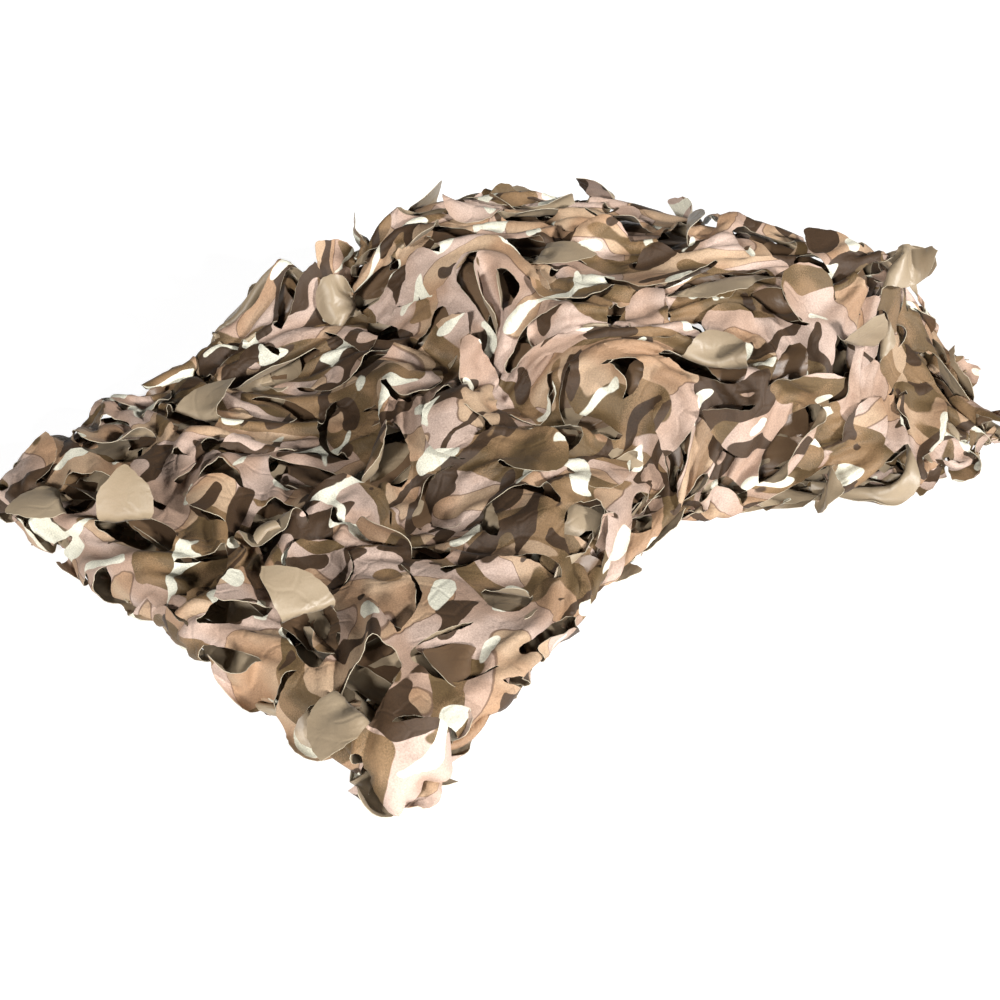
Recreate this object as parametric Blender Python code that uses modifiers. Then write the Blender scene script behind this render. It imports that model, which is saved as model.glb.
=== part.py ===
"""Leaf-cut camouflage net, folded back and forth into a soft packet.

One sheet of cloth with half-moon cuts.  The sheet starts on the floor, turns
up at the front fold, runs back over the packet, falls at the far end, turns
in, runs forward through the middle, turns again and ends in the low layer.

Frame: +X runs from the front fold to the far end, +Z is up.  The origin is
the centre of the footprint, on the surface that the packet lies on.
"""
import math
import random
from collections import namedtuple

import bmesh
import bpy
from mathutils import Vector

# ---- driving dimensions, metres --------------------------------------------
FOLD_WIDTH = 0.54        # the front fold, end to end
CLOTH = 0.002            # thickness of the coated cloth
DEPTH_LEFT = 0.56        # front fold to far end, on the left side
DEPTH_RIGHT = 0.785      # the same on the right side
FRONT_ROUND = 0.012      # the corners of the front fold
BACK_ROUND = 0.090       # and those of the far end
SLAB_LEFT = 0.048        # height of the front fold at its left end
SLAB_RIGHT = 0.078       # and at its right end
ROLL_LEFT = 0.168        # height of the thick rear part
ROLL_RIGHT = 0.156
STEP_LEFT = 0.315        # where the rear part starts to rise
STEP_RIGHT = 0.365
STEP_RUN = 0.085         # length of that rise
FAR_ROUND = 0.085        # rounding of the far end
FAR_FOLD = 0.040         # height of the far fold above the floor
INNER_FRONT = 0.048      # front fold to the fold inside it
RIPPLE = 0.006           # soft unevenness of the laid cloth

# ---- leaf cuts ---------------------------------------------------------------
CELLS_ACROSS = 9
CELLS_ALONG = 12
CUT_RADIUS = 0.031
FLAP_TAPER = 0.88
LOWEST_LEAF = 0.004      # leaves that reach the floor lie this high
SEED = 11

Layer = namedtuple("Layer", "share edge inset reach")
FLOOR = Layer(share=0.00, edge=0.001, inset=0.012, reach=0.020)
TOP = Layer(share=1.00, edge=0.013, inset=0.000, reach=0.000)
MIDDLE = Layer(share=0.66, edge=0.019, inset=0.024, reach=0.028)
LOW = Layer(share=0.33, edge=0.010, inset=0.045, reach=0.056)

# outline of the packet: sides as shares of FOLD_WIDTH at a distance x
# how square each side stands and how far its hem spreads at the floor
Side = namedtuple("Side", "x left right left_square right_square hem")
OUTLINE = (
    Side(x=0.00, left=-0.005, right=1.010, left_square=4.6, right_square=3.6, hem=0.010),
    Side(x=0.12, left=-0.020, right=0.955, left_square=5.0, right_square=3.2, hem=0.020),
    Side(x=0.22, left=-0.010, right=0.905, left_square=5.0, right_square=3.0, hem=0.020),
    Side(x=0.30, left=0.000, right=0.880, left_square=5.4, right_square=2.9, hem=0.020),
    Side(x=0.36, left=0.025, right=0.875, left_square=5.4, right_square=2.9, hem=0.030),
    Side(x=0.43, left=0.075, right=0.890, left_square=5.0, right_square=2.9, hem=0.050),
    Side(x=0.50, left=0.085, right=0.960, left_square=4.6, right_square=3.1, hem=0.090),
    Side(x=0.58, left=0.110, right=1.010, left_square=4.0, right_square=3.5, hem=0.130),
    Side(x=0.67, left=0.150, right=1.015, left_square=3.4, right_square=3.8, hem=0.150),
    Side(x=0.80, left=0.210, right=0.985, left_square=3.0, right_square=3.8, hem=0.110),
)

# soft forms on the outer height: centre x, w; half lengths; height
Form = namedtuple("Form", "name x w long wide rise")
FORMS = (
    Form("valley", x=0.195, w=0.35, long=0.040, wide=0.55, rise=-0.016),
    Form("mid_ridge", x=0.300, w=0.16, long=0.050, wide=0.46, rise=0.044),
    Form("right_ridge", x=0.300, w=0.80, long=0.040, wide=0.16, rise=0.012),
    Form("crest", x=0.470, w=0.25, long=0.070, wide=0.25, rise=0.006),
    Form("right_dip", x=0.500, w=0.68, long=0.090, wide=0.09, rise=-0.016),
    Form("far_tube", x=0.690, w=0.84, long=0.060, wide=0.22, rise=0.040),
)


def mix(a, b, u):
    return a + (b - a) * u


def ease(u):
    u = min(max(u, 0.0), 1.0)
    return u * u * (3.0 - 2.0 * u)


def outline(x, column):
    """The outline table, read smoothly between its rows."""
    if x <= OUTLINE[0].x:
        return getattr(OUTLINE[0], column)
    for low, high in zip(OUTLINE, OUTLINE[1:]):
        if x <= high.x:
            return mix(getattr(low, column), getattr(high, column),
                       ease((x - low.x) / (high.x - low.x)))
    return getattr(OUTLINE[-1], column)


def depth(w):
    return mix(DEPTH_LEFT, DEPTH_RIGHT, ease(w)) - BACK_ROUND * abs(2.0 * w - 1.0) ** 8


def front_fold(w):
    return FRONT_ROUND * abs(2.0 * w - 1.0) ** 10 - 0.018


def slab(w):
    return mix(SLAB_LEFT, SLAB_RIGHT, w)


def height(x, w):
    """Outer height of the packet."""
    rise = ease((x - mix(STEP_LEFT, STEP_RIGHT, w)) / STEP_RUN)
    h = mix(slab(w), mix(ROLL_LEFT, ROLL_RIGHT, w), rise)
    for form in FORMS:
        h += form.rise * math.exp(-((x - form.x) / form.long) ** 2
                                  - ((w - form.w) / form.wide) ** 2)
    calm = ease(x / 0.10)
    return h + RIPPLE * calm * (math.sin(31.0 * x + 9.0 * w)
                                * math.sin(11.0 * w - 17.0 * x + 0.6))


def laid(layer, q, w):
    """A layer over the packet, q from its front end to its far end."""
    front = slab(w) / 2.0 + front_fold(w) if layer in (FLOOR, TOP) else INNER_FRONT
    end = depth(w) - layer.reach
    if layer is FLOOR:
        return mix(front, end, q), layer.edge, layer.edge, layer.inset
    bottom = FAR_FOLD if layer is not LOW else 0.6 * FAR_FOLD
    start = end - FAR_ROUND
    if q < 0.75:
        x, fall = mix(front, start, q / 0.75), 1.0
    else:
        angle = (q - 0.75) / 0.25 * math.pi / 2.0
        x = start + FAR_ROUND * math.sin(angle) ** 0.85
        fall = max(math.cos(angle), 0.0) ** 0.85
    top = layer.share * height(x, w)
    if layer is TOP:
        # a soft tuck under the thick rear part
        step = mix(STEP_LEFT, STEP_RIGHT, w)
        x += 0.020 * math.exp(-((x - step) / 0.030) ** 2)
    return x, bottom + (top - bottom) * fall, layer.edge, layer.inset


def turned(a, b, q, w, end_a, end_b, bulge):
    """The fold between two layers."""
    xa, za, edge_a, inset_a = laid(a, end_a, w)
    xb, zb, edge_b, inset_b = laid(b, end_b, w)
    u = (1.0 - math.cos(math.pi * q)) / 2.0
    s = math.sin(math.pi * q)
    x = mix(xa, xb, u) + (bulge[0] * s)
    z = mix(za, zb, u) + (bulge[1] * s)
    return x, z, mix(edge_a, edge_b, u), mix(inset_a, inset_b, u)


def section(leg, q, w):
    if leg == 0:
        return laid(FLOOR, 1.0 - q, w)
    if leg == 1:
        return turned(FLOOR, TOP, q, w, 0.0, 0.0, (-slab(w) / 2.0, 0.0))
    if leg == 2:
        return laid(TOP, q, w)
    if leg == 3:
        return turned(TOP, MIDDLE, q, w, 1.0, 1.0, (0.0, -0.014))
    if leg == 4:
        return laid(MIDDLE, 1.0 - q, w)
    if leg == 5:
        return turned(MIDDLE, LOW, q, w, 0.0, 0.0, (-0.5 * 0.33 * slab(w), 0.0))
    return laid(LOW, q, w)


def place(leg, q, v):
    """The point of the sheet at q along a leg and v across it."""
    x, z, edge, inset = section(leg, q, v)
    square = outline(x, "left_square" if v < 0.5 else "right_square")
    c, s = math.cos(math.pi * v), math.sin(math.pi * v)
    across = 0.5 - 0.5 * math.copysign(abs(c) ** (2.0 / square), c)
    lift = abs(s) ** (2.0 / square)
    inset /= FOLD_WIDTH
    left = outline(x, "left") + inset
    right = outline(x, "right") - inset
    w = mix(left, right, across)
    if v > 0.5:
        w += outline(x, "hem") * (1.0 - lift) ** 3
    return Vector((x, (0.5 - w) * FOLD_WIDTH, edge + (z - edge) * lift))


class Sheet:
    """The folded sheet by row and column, rows and columns evenly spaced."""

    # legs and their rows: leaf-cut rows are legs 1 to 2 up to the far fold
    ROWS = ((0, 8), (1, 4), (2, 4 * CELLS_ALONG - 4), (3, 3), (4, 9), (5, 3), (6, 8))
    COLUMNS = 4 * CELLS_ACROSS
    FINE = 72

    def __init__(self):
        self.stations = []
        for leg, rows in self.ROWS:
            path = [place(leg, i / 240.0, 0.5) for i in range(241)]
            run = [0.0]
            for a, b in zip(path, path[1:]):
                run.append(run[-1] + (b - a).length)
            first = 0 if not self.stations else 1
            for row in range(first, rows + 1):
                goal = run[-1] * row / rows
                i = max(k for k in range(241) if run[k] <= goal + 1e-9)
                i = min(i, 239)
                part = (goal - run[i]) / max(run[i + 1] - run[i], 1e-9)
                self.stations.append((leg, min((i + part) / 240.0, 1.0)))
        self.across = [self.even(leg, q) for leg, q in self.stations]

    def even(self, leg, q):
        """The v of each column of one row, by equal length across."""
        fine = [place(leg, q, i / self.FINE) for i in range(self.FINE + 1)]
        run = [0.0]
        for a, b in zip(fine, fine[1:]):
            run.append(run[-1] + (b - a).length)
        result, i = [], 0
        for column in range(self.COLUMNS + 1):
            goal = run[-1] * column / self.COLUMNS
            while i < self.FINE - 1 and run[i + 1] < goal:
                i += 1
            result.append((i + (goal - run[i]) / (run[i + 1] - run[i])) / self.FINE)
        return result

    def at(self, row, column):
        """Point of the sheet at a row and column, which may be fractions."""
        row = min(max(row, 0.0), len(self.stations) - 1.0)
        column = min(max(column, 0.0), float(self.COLUMNS))
        r = min(int(row), len(self.stations) - 2)
        c = min(int(column), self.COLUMNS - 1)
        fr, fc = row - r, column - c
        corners = []
        for rr in (r, r + 1):
            leg, q = self.stations[rr]
            va, vb = self.across[rr][c], self.across[rr][c + 1]
            corners.append(place(leg, q, min(max(mix(va, vb, fc), 0.0), 1.0)))
        return corners[0].lerp(corners[1], fr)


def rows_before(leg):
    return sum(rows for number, rows in Sheet.ROWS if number < leg)


FIRST_CUT_ROW = rows_before(1)
LAST_CUT_ROW = rows_before(3)


def add_grid(bm, row_layer, column_layer, first, last, row_steps, column_steps):
    """A grid whose points carry the row and column they stand for."""
    made = bmesh.ops.create_grid(bm, x_segments=column_steps, y_segments=row_steps, size=0.5)
    for vert in made["verts"]:
        vert[row_layer] = mix(first, last, round((vert.co.y + 0.5) * row_steps) / row_steps)
        vert[column_layer] = (Sheet.COLUMNS
                              * round((vert.co.x + 0.5) * column_steps) / column_steps)
    return made["verts"]


def edge_row(verts, row_layer, row):
    chosen = {v for v in verts if abs(v[row_layer] - row) < 1e-6}
    return list({e for v in chosen for e in v.link_edges if e.other_vert(v) in chosen})


def cut_leaves(bm, sheet, row_layer, column_layer, verts):
    """Cut a half-moon in every cell and lift its flap."""
    rng = random.Random(SEED)
    by_place = {(round(v[row_layer]), round(v[column_layer])): v for v in verts}
    leaves = []
    for along in range(CELLS_ALONG):
        for across in range(CELLS_ACROSS):
            row = FIRST_CUT_ROW + 4 * along + 2
            column = 4 * across + 2
            # hinge side as a step in (row, column)
            hinge = rng.choice(((-1, 0), (1, 0), (0, -1), (0, 1)))
            turn = (hinge[1], -hinge[0])
            ring = []
            for reach in (-1, 0, 1):
                for slide in (-1, 0, 1):
                    ring.append((reach, slide,
                                 by_place[(row + hinge[0] * -reach + turn[0] * slide,
                                           column + hinge[1] * -reach + turn[1] * slide)]))
            leaves.append(dict(row=row, column=column, hinge=hinge, turn=turn, ring=ring,
                               open=math.radians(rng.uniform(22.0, 50.0)),
                               curl=math.radians(rng.uniform(-40.0, -4.0)),
                               size=rng.uniform(0.92, 1.10),
                               long=rng.uniform(0.92, 1.14)))
    faces_of = {}
    slits = []
    for number, leaf in enumerate(leaves):
        inside = {v for _, _, v in leaf["ring"]}
        block = [f for f in {f for v in inside for f in v.link_faces}
                 if all(v in inside for v in f.verts)]
        faces_of[number] = block
        hinge_verts = {v for reach, _, v in leaf["ring"] if reach == -1}
        for edge in {e for f in block for e in f.edges}:
            border = sum(1 for f in edge.link_faces if f in block) == 1
            if border and not (edge.verts[0] in hinge_verts and edge.verts[1] in hinge_verts):
                slits.append(edge)
    grid_of = {}
    for number, leaf in enumerate(leaves):
        for reach, slide, vert in leaf["ring"]:
            grid_of[(round(vert[row_layer]), round(vert[column_layer]), number)] = (reach, slide)
    bmesh.ops.split_edges(bm, edges=slits)
    return leaves, faces_of, grid_of


def leaf_points(sheet, leaf):
    """Places of the hole's rim and of the flap, by (reach, slide)."""
    row, column = leaf["row"], leaf["column"]
    step_row = (sheet.at(row + 1, column) - sheet.at(row - 1, column)).length / 2.0
    step_column = (sheet.at(row, column + 1) - sheet.at(row, column - 1)).length / 2.0
    radius = min(CUT_RADIUS * leaf["size"], 1.55 * step_row, 1.55 * step_column)
    corner = radius * math.sqrt(0.5)
    flat = {(-1, -1): (-corner, -corner), (-1, 0): (-corner, 0.0), (-1, 1): (-corner, corner),
            (0, -1): (0.0, -radius), (0, 0): (0.0, 0.0), (0, 1): (0.0, radius),
            (1, -1): (corner, -corner), (1, 0): (radius, 0.0), (1, 1): (corner, corner)}
    hinge, turn = leaf["hinge"], leaf["turn"]
    rim = {}
    for key, (forward, slide) in flat.items():
        forward *= leaf["long"] if forward > 0 else 1.0
        d_row = (hinge[0] * -forward + turn[0] * slide) / step_row
        d_column = (hinge[1] * -forward + turn[1] * slide) / step_column
        rim[key] = sheet.at(row + d_row, column + d_column)
    # the flap leaves from the hinge and curls back towards the cloth
    left, right = rim[(-1, -1)], rim[(-1, 1)]
    base = (left + right) / 2.0
    along = (right - left).normalized()
    tangent_row = sheet.at(row + 1, column) - sheet.at(row - 1, column)
    tangent_column = sheet.at(row, column + 1) - sheet.at(row, column - 1)
    normal = tangent_column.cross(tangent_row).normalized()
    normal = (normal - along * normal.dot(along)).normalized()
    forward = (rim[(1, 0)] - base)
    forward = (forward - along * forward.dot(along) - normal * forward.dot(normal)).normalized()
    flap = {}
    for key, (reach, slide) in flat.items():
        if key[0] == -1:
            continue
        reach *= leaf["long"] if reach > 0 else 1.0
        length = reach + corner
        total = corner + radius
        steps, x, z = 12, 0.0, 0.0
        for i in range(steps):
            angle = leaf["open"] + leaf["curl"] * (i + 0.5) / steps * length / total
            x += math.cos(angle) * length / steps
            z += math.sin(angle) * length / steps
        width = math.copysign(min(abs(slide), corner), slide) if slide else 0.0
        width *= mix(0.96, FLAP_TAPER, length / total)
        flap[key] = base + along * width + forward * x + normal * z
        flap[key].z = max(flap[key].z, LOWEST_LEAF)
    return rim, flap


def build_net():
    sheet = Sheet()
    bm = bmesh.new()
    row_layer = bm.verts.layers.float.new("row")
    column_layer = bm.verts.layers.float.new("column")
    cut = add_grid(bm, row_layer, column_layer, FIRST_CUT_ROW, LAST_CUT_ROW,
                   LAST_CUT_ROW - FIRST_CUT_ROW, Sheet.COLUMNS)
    last_row = rows_before(7)
    floor = add_grid(bm, row_layer, column_layer, 0, FIRST_CUT_ROW - 1,
                     FIRST_CUT_ROW - 1, CELLS_ACROSS)
    inner = add_grid(bm, row_layer, column_layer, LAST_CUT_ROW + 1, last_row,
                     last_row - LAST_CUT_ROW - 1, CELLS_ACROSS)
    seams = [edge_row(cut, row_layer, FIRST_CUT_ROW)
             + edge_row(floor, row_layer, FIRST_CUT_ROW - 1),
             edge_row(cut, row_layer, LAST_CUT_ROW)
             + edge_row(inner, row_layer, LAST_CUT_ROW + 1)]
    for vert in bm.verts:
        vert.co = sheet.at(vert[row_layer], vert[column_layer])
    for seam in seams:
        bmesh.ops.bridge_loops(bm, edges=seam)
    leaves, faces_of, grid_of = cut_leaves(bm, sheet, row_layer, column_layer, cut)
    for number, leaf in enumerate(leaves):
        rim, flap = leaf_points(sheet, leaf)
        inside = set(faces_of[number])
        flap_verts = {v for f in inside for v in f.verts}
        for vert in flap_verts:
            key = grid_of[(round(vert[row_layer]), round(vert[column_layer]), number)]
            free = all(f in inside for f in vert.link_faces)
            vert.co = flap[key] if free else rim[key]
        leaf["rim"] = rim
    # the rim of each hole on the web side of its slit
    rims = {}
    for number, leaf in enumerate(leaves):
        for reach in (-1, 0, 1):
            for slide in (-1, 0, 1):
                if (reach, slide) == (0, 0):
                    continue
                r = leaf["row"] + leaf["hinge"][0] * -reach + leaf["turn"][0] * slide
                c = leaf["column"] + leaf["hinge"][1] * -reach + leaf["turn"][1] * slide
                rims[(r, c)] = leaf["rim"][(reach, slide)]
    flap_faces = {f for block in faces_of.values() for f in block}
    for vert in bm.verts:
        key = (round(vert[row_layer]), round(vert[column_layer]))
        if key in rims and not all(f in flap_faces for f in vert.link_faces):
            vert.co = rims[key]
    bmesh.ops.recalc_face_normals(bm, faces=bm.faces)
    mesh = bpy.data.meshes.new("net_cloth")
    bm.to_mesh(mesh)
    bm.free()
    net = bpy.data.objects.new("net_cloth", mesh)
    solidify = net.modifiers.new("cloth thickness", "SOLIDIFY")
    solidify.thickness = CLOTH
    solidify.offset = 0.0
    solidify.use_rim = True
    solidify.use_even_offset = False
    return net


def stand_on_floor(net):
    """Move the mesh so that the origin is the centre of the footprint."""
    bpy.context.view_layer.update()
    solid = net.evaluated_get(bpy.context.evaluated_depsgraph_get())
    corners = [v.co for v in solid.data.vertices]
    low = [min(c[i] for c in corners) for i in range(3)]
    high = [max(c[i] for c in corners) for i in range(3)]
    shift = Vector(((low[0] + high[0]) / 2.0, (low[1] + high[1]) / 2.0, low[2]))
    for vert in net.data.vertices:
        vert.co -= shift


def cloth_material():
    material = bpy.data.materials.new("printed_cloth")
    material.use_nodes = True
    shader = material.node_tree.nodes["Principled BSDF"]
    shader.inputs["Base Color"].default_value = (0.36, 0.29, 0.20, 1.0)
    shader.inputs["Roughness"].default_value = 0.85
    shader.inputs["Metallic"].default_value = 0.0
    return material


def main():
    for old in list(bpy.data.objects):
        bpy.data.objects.remove(old, do_unlink=True)
    parts = bpy.data.collections.new("camouflage_net")
    bpy.context.scene.collection.children.link(parts)
    net = build_net()
    net.data.materials.append(cloth_material())
    parts.objects.link(net)
    stand_on_floor(net)


main()
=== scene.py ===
"""Folded leaf-cut camouflage net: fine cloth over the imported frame.

The packet has the solid's form.  Each sheet is cut flat in squares with their leaves,
laid over a smooth map of the packet, and its leaves bend away from their hinges.  Then
the sheet is relaxed: it finds its length again and its leaves lie over each other.
"""

import math
from collections import namedtuple

import bpy
import numpy as np
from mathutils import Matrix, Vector
from mathutils.geometry import delaunay_2d_cdt


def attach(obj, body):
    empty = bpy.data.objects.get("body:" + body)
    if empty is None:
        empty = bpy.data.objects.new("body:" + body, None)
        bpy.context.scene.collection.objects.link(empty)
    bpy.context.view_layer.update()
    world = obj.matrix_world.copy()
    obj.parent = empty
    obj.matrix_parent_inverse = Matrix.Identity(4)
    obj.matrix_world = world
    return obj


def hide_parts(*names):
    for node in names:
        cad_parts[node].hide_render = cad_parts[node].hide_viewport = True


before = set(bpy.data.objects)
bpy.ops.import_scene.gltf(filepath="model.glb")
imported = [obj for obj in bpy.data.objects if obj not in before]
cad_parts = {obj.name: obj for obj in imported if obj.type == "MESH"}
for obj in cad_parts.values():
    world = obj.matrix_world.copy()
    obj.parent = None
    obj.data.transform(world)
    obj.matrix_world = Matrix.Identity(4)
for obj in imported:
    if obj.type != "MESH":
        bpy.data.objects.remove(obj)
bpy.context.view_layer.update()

# ---- the packet's form, as in the solid, metres -----------------------------------
FOLD_WIDTH = 0.54
DEPTH_LEFT = 0.56
DEPTH_RIGHT = 0.785
FRONT_ROUND = 0.012
FRONT_BACK = 0.018
BACK_ROUND = 0.090
SLAB_LEFT = 0.048
SLAB_RIGHT = 0.078
ROLL_LEFT = 0.168
ROLL_RIGHT = 0.156
STEP_LEFT = 0.315
STEP_RIGHT = 0.365
STEP_RUN = 0.085
STEP_LEAN = 0.020        # the top leans forward by this at the step, over this run
STEP_LEAN_RUN = 0.030
FAR_ROUND = 0.085
FAR_FOLD = 0.040
FAR_START = 0.75         # share of a layer where its far round begins
ROUND_POWER = 0.85
FAR_SAG = 0.014
INNER_FRONT = 0.048
RIPPLE = 0.006
RIPPLE_START = 0.10
CENTRE = np.array([0.37213, -0.02998, 0.0])   # footprint's centre from the front fold

Layer = namedtuple("Layer", "share edge inset reach")
FLOOR = Layer(share=0.00, edge=0.001, inset=0.012, reach=0.020)
TOP = Layer(share=1.00, edge=0.013, inset=0.000, reach=0.000)
MIDDLE = Layer(share=0.66, edge=0.019, inset=0.024, reach=0.028)
LOW = Layer(share=0.33, edge=0.010, inset=0.045, reach=0.056)

Side = namedtuple("Side", "x left right left_square right_square hem")
OUTLINE = (
    Side(0.00, -0.005, 1.010, 4.6, 3.6, 0.010),
    Side(0.12, -0.020, 0.955, 5.0, 3.2, 0.020),
    Side(0.22, -0.010, 0.905, 5.0, 3.0, 0.020),
    Side(0.30,  0.000, 0.880, 5.4, 2.9, 0.020),
    Side(0.36,  0.025, 0.875, 5.4, 2.9, 0.030),
    Side(0.43,  0.075, 0.890, 5.0, 2.9, 0.050),
    Side(0.50,  0.085, 0.960, 4.6, 3.1, 0.090),
    Side(0.58,  0.110, 1.010, 4.0, 3.5, 0.130),
    Side(0.67,  0.150, 1.015, 3.4, 3.8, 0.150),
    Side(0.80,  0.210, 0.985, 3.0, 3.8, 0.110),
)

Form = namedtuple("Form", "name x w long wide rise")
FORMS = (
    Form("valley",      0.195, 0.35, 0.040, 0.55, rise=-0.016),
    Form("mid_ridge",   0.300, 0.16, 0.050, 0.46, rise=0.044),
    Form("right_ridge", 0.300, 0.80, 0.040, 0.16, rise=0.012),
    Form("crest",       0.470, 0.25, 0.070, 0.25, rise=0.006),
    Form("right_dip",   0.500, 0.68, 0.090, 0.09, rise=-0.016),
    Form("far_tube",    0.690, 0.84, 0.060, 0.22, rise=0.040),
)


def mix(a, b, u):
    return a + (b - a) * u


def ease(u):
    u = np.clip(u, 0.0, 1.0)
    return u * u * (3.0 - 2.0 * u)


def dot(a, b):
    return (a * b).sum(axis=-1)


def norm(vectors):
    return np.linalg.norm(vectors, axis=-1)


def unit(vectors):
    return vectors / (norm(vectors)[..., None] + 1e-12)


def outline(x, column):
    """The outline table, read smoothly between its rows."""
    xs = np.array([side.x for side in OUTLINE])
    values = np.array([getattr(side, column) for side in OUTLINE])
    x = np.clip(x, xs[0], xs[-1])
    i = np.clip(np.searchsorted(xs, x, side="right") - 1, 0, len(xs) - 2)
    return mix(values[i], values[i + 1], ease((x - xs[i]) / (xs[i + 1] - xs[i])))


def depth(w):
    return mix(DEPTH_LEFT, DEPTH_RIGHT, ease(w)) - BACK_ROUND * np.abs(2.0 * w - 1.0) ** 8


def front_fold(w):
    return FRONT_ROUND * np.abs(2.0 * w - 1.0) ** 10 - FRONT_BACK


def slab(w):
    return mix(SLAB_LEFT, SLAB_RIGHT, w)


def near_spot(spot, x, w):
    """1 at a form's or swell's place, falling to 0 around it."""
    return np.exp(-((x - spot.x) / spot.long) ** 2 - ((w - spot.w) / spot.wide) ** 2)


def height(x, w):
    rise = ease((x - mix(STEP_LEFT, STEP_RIGHT, w)) / STEP_RUN)
    h = mix(slab(w), mix(ROLL_LEFT, ROLL_RIGHT, w), rise)
    for form in FORMS:
        h = h + form.rise * near_spot(form, x, w)
    ripple = np.sin(31.0 * x + 9.0 * w) * np.sin(11.0 * w - 17.0 * x + 0.6)
    return h + RIPPLE * ease(x / RIPPLE_START) * ripple


def laid(layer, q, w):
    """x, height, edge height and inset of a laid layer, at q from its front to its end."""
    front = slab(w) / 2.0 + front_fold(w) if layer in (FLOOR, TOP) else INNER_FRONT + 0.0 * w
    end = depth(w) - layer.reach
    if layer is FLOOR:
        return mix(front, end, q), layer.edge + 0.0 * w, layer.edge, layer.inset
    bottom = FAR_FOLD if layer is not LOW else 0.6 * FAR_FOLD
    start = end - FAR_ROUND
    angle = np.clip((q - FAR_START) / (1.0 - FAR_START), 0.0, 1.0) * math.pi / 2.0
    x = np.where(q < FAR_START, mix(front, start, q / FAR_START),
                 start + FAR_ROUND * np.sin(angle) ** ROUND_POWER)
    fall = np.maximum(np.cos(angle), 0.0) ** ROUND_POWER
    top = layer.share * height(x, w)
    if layer is TOP:
        step = mix(STEP_LEFT, STEP_RIGHT, w)
        x = x + STEP_LEAN * np.exp(-((x - step) / STEP_LEAN_RUN) ** 2)
    return x, bottom + (top - bottom) * fall, layer.edge, layer.inset


def turned(a, b, q, w, end, bulge_x, bulge_z):
    """The turn from layer a to layer b, at their fronts (end 0) or far ends (end 1)."""
    xa, za, edge_a, inset_a = laid(a, end, w)
    xb, zb, edge_b, inset_b = laid(b, end, w)
    u = (1.0 - math.cos(math.pi * q)) / 2.0
    s = math.sin(math.pi * q)
    return (mix(xa, xb, u) + bulge_x * s, mix(za, zb, u) + bulge_z * s,
            mix(edge_a, edge_b, u), mix(inset_a, inset_b, u))


# the stretches of the fold path, in the order in which the cloth runs through them
FLOOR_LEG, FRONT_TURN, TOP_LEG, FAR_TURN, MIDDLE_LEG, INNER_TURN, LOW_LEG = range(7)


def section(leg, q, w):
    """x, height, edge height and inset at q along a leg."""
    if leg == FLOOR_LEG:
        return laid(FLOOR, 1.0 - q, w)
    if leg == FRONT_TURN:
        return turned(FLOOR, TOP, q, w, 0.0, -slab(w) / 2.0, 0.0)
    if leg == TOP_LEG:
        return laid(TOP, q, w)
    if leg == FAR_TURN:
        return turned(TOP, MIDDLE, q, w, 1.0, 0.0, -FAR_SAG)
    if leg == MIDDLE_LEG:
        return laid(MIDDLE, 1.0 - q, w)
    if leg == INNER_TURN:
        return turned(MIDDLE, LOW, q, w, 0.0, -0.5 * LOW.share * slab(w), 0.0)
    return laid(LOW, q, w)


def place(leg, q, v):
    """Points of the sheet at q along a leg, for an array of places v across it."""
    x, z, edge, inset = section(leg, q, v)
    square = np.where(v < 0.5, outline(x, "left_square"), outline(x, "right_square"))
    c, s = np.cos(math.pi * v), np.sin(math.pi * v)
    across = 0.5 - 0.5 * np.sign(c) * np.abs(c) ** (2.0 / square)
    lift = np.abs(s) ** (2.0 / square)
    inset = inset / FOLD_WIDTH
    w = mix(outline(x, "left") + inset, outline(x, "right") - inset, across)
    w = w + np.where(v > 0.5, outline(x, "hem") * (1.0 - lift) ** 3, 0.0)
    return np.stack([x, (0.5 - w) * FOLD_WIDTH, edge + (z - edge) * lift], axis=-1) - CENTRE


def arc_length(points):
    """Distance along a curve, or along each column of a grid, at each of its points."""
    steps = norm(np.diff(points, axis=0))
    return np.concatenate([np.zeros_like(steps[:1]), np.cumsum(steps, axis=0)])


# ---- a smooth map of the cloth over the packet --------------------------------------
MAP_STEP = 0.005
LEG_STATIONS = 200       # sections read along each leg
ROW_POINTS = 401         # points read across each section
MAP_SMOOTHINGS = 6
TUCK_HEIGHT = 0.007      # cloth past the edges is tucked in, this high over the floor
TUCK_RUN = 0.03

# where the loose cloth stands over the packet or falls back: a rise for all that
# is high, and a push outward across the packet for what is high and what is low
Swell = namedtuple("Swell", "name x w long wide rise out_high out_low", defaults=(0.0,) * 3)
SWELLS = (
    Swell("far_edge",    0.640, 0.67, 0.090, 0.13, rise=0.025),
    Swell("crest_left",  0.560, 0.26, 0.080, 0.12, rise=-0.010),
    Swell("shoulder",    0.400, 0.09, 0.045, 0.06, rise=-0.018, out_high=0.012),
    Swell("bunch",       0.328, 0.04, 0.024, 0.05, rise=0.110),
    Swell("tube_end",    0.700, 1.04, 0.090, 0.10, out_high=-0.055),
    Swell("spread",      0.665, 1.10, 0.055, 0.10, out_low=0.010),
    Swell("roll_hem",    0.520, 1.02, 0.060, 0.09, out_high=-0.004, out_low=-0.016),
    Swell("notch",       0.360, 0.90, 0.060, 0.08, out_high=-0.010, out_low=-0.014),
    Swell("far_top",     0.665, 0.86, 0.050, 0.08, rise=-0.014),
    Swell("corner",      0.000, 1.00, 0.060, 0.10, out_high=-0.008, out_low=-0.010),
    Swell("far_end",     0.660, 0.90, 0.045, 0.07, rise=0.016),
    Swell("trough",      0.215, 0.70, 0.048, 0.17, rise=-0.078),
    Swell("trough_left", 0.262, 0.24, 0.036, 0.17, rise=-0.044),
)


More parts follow.
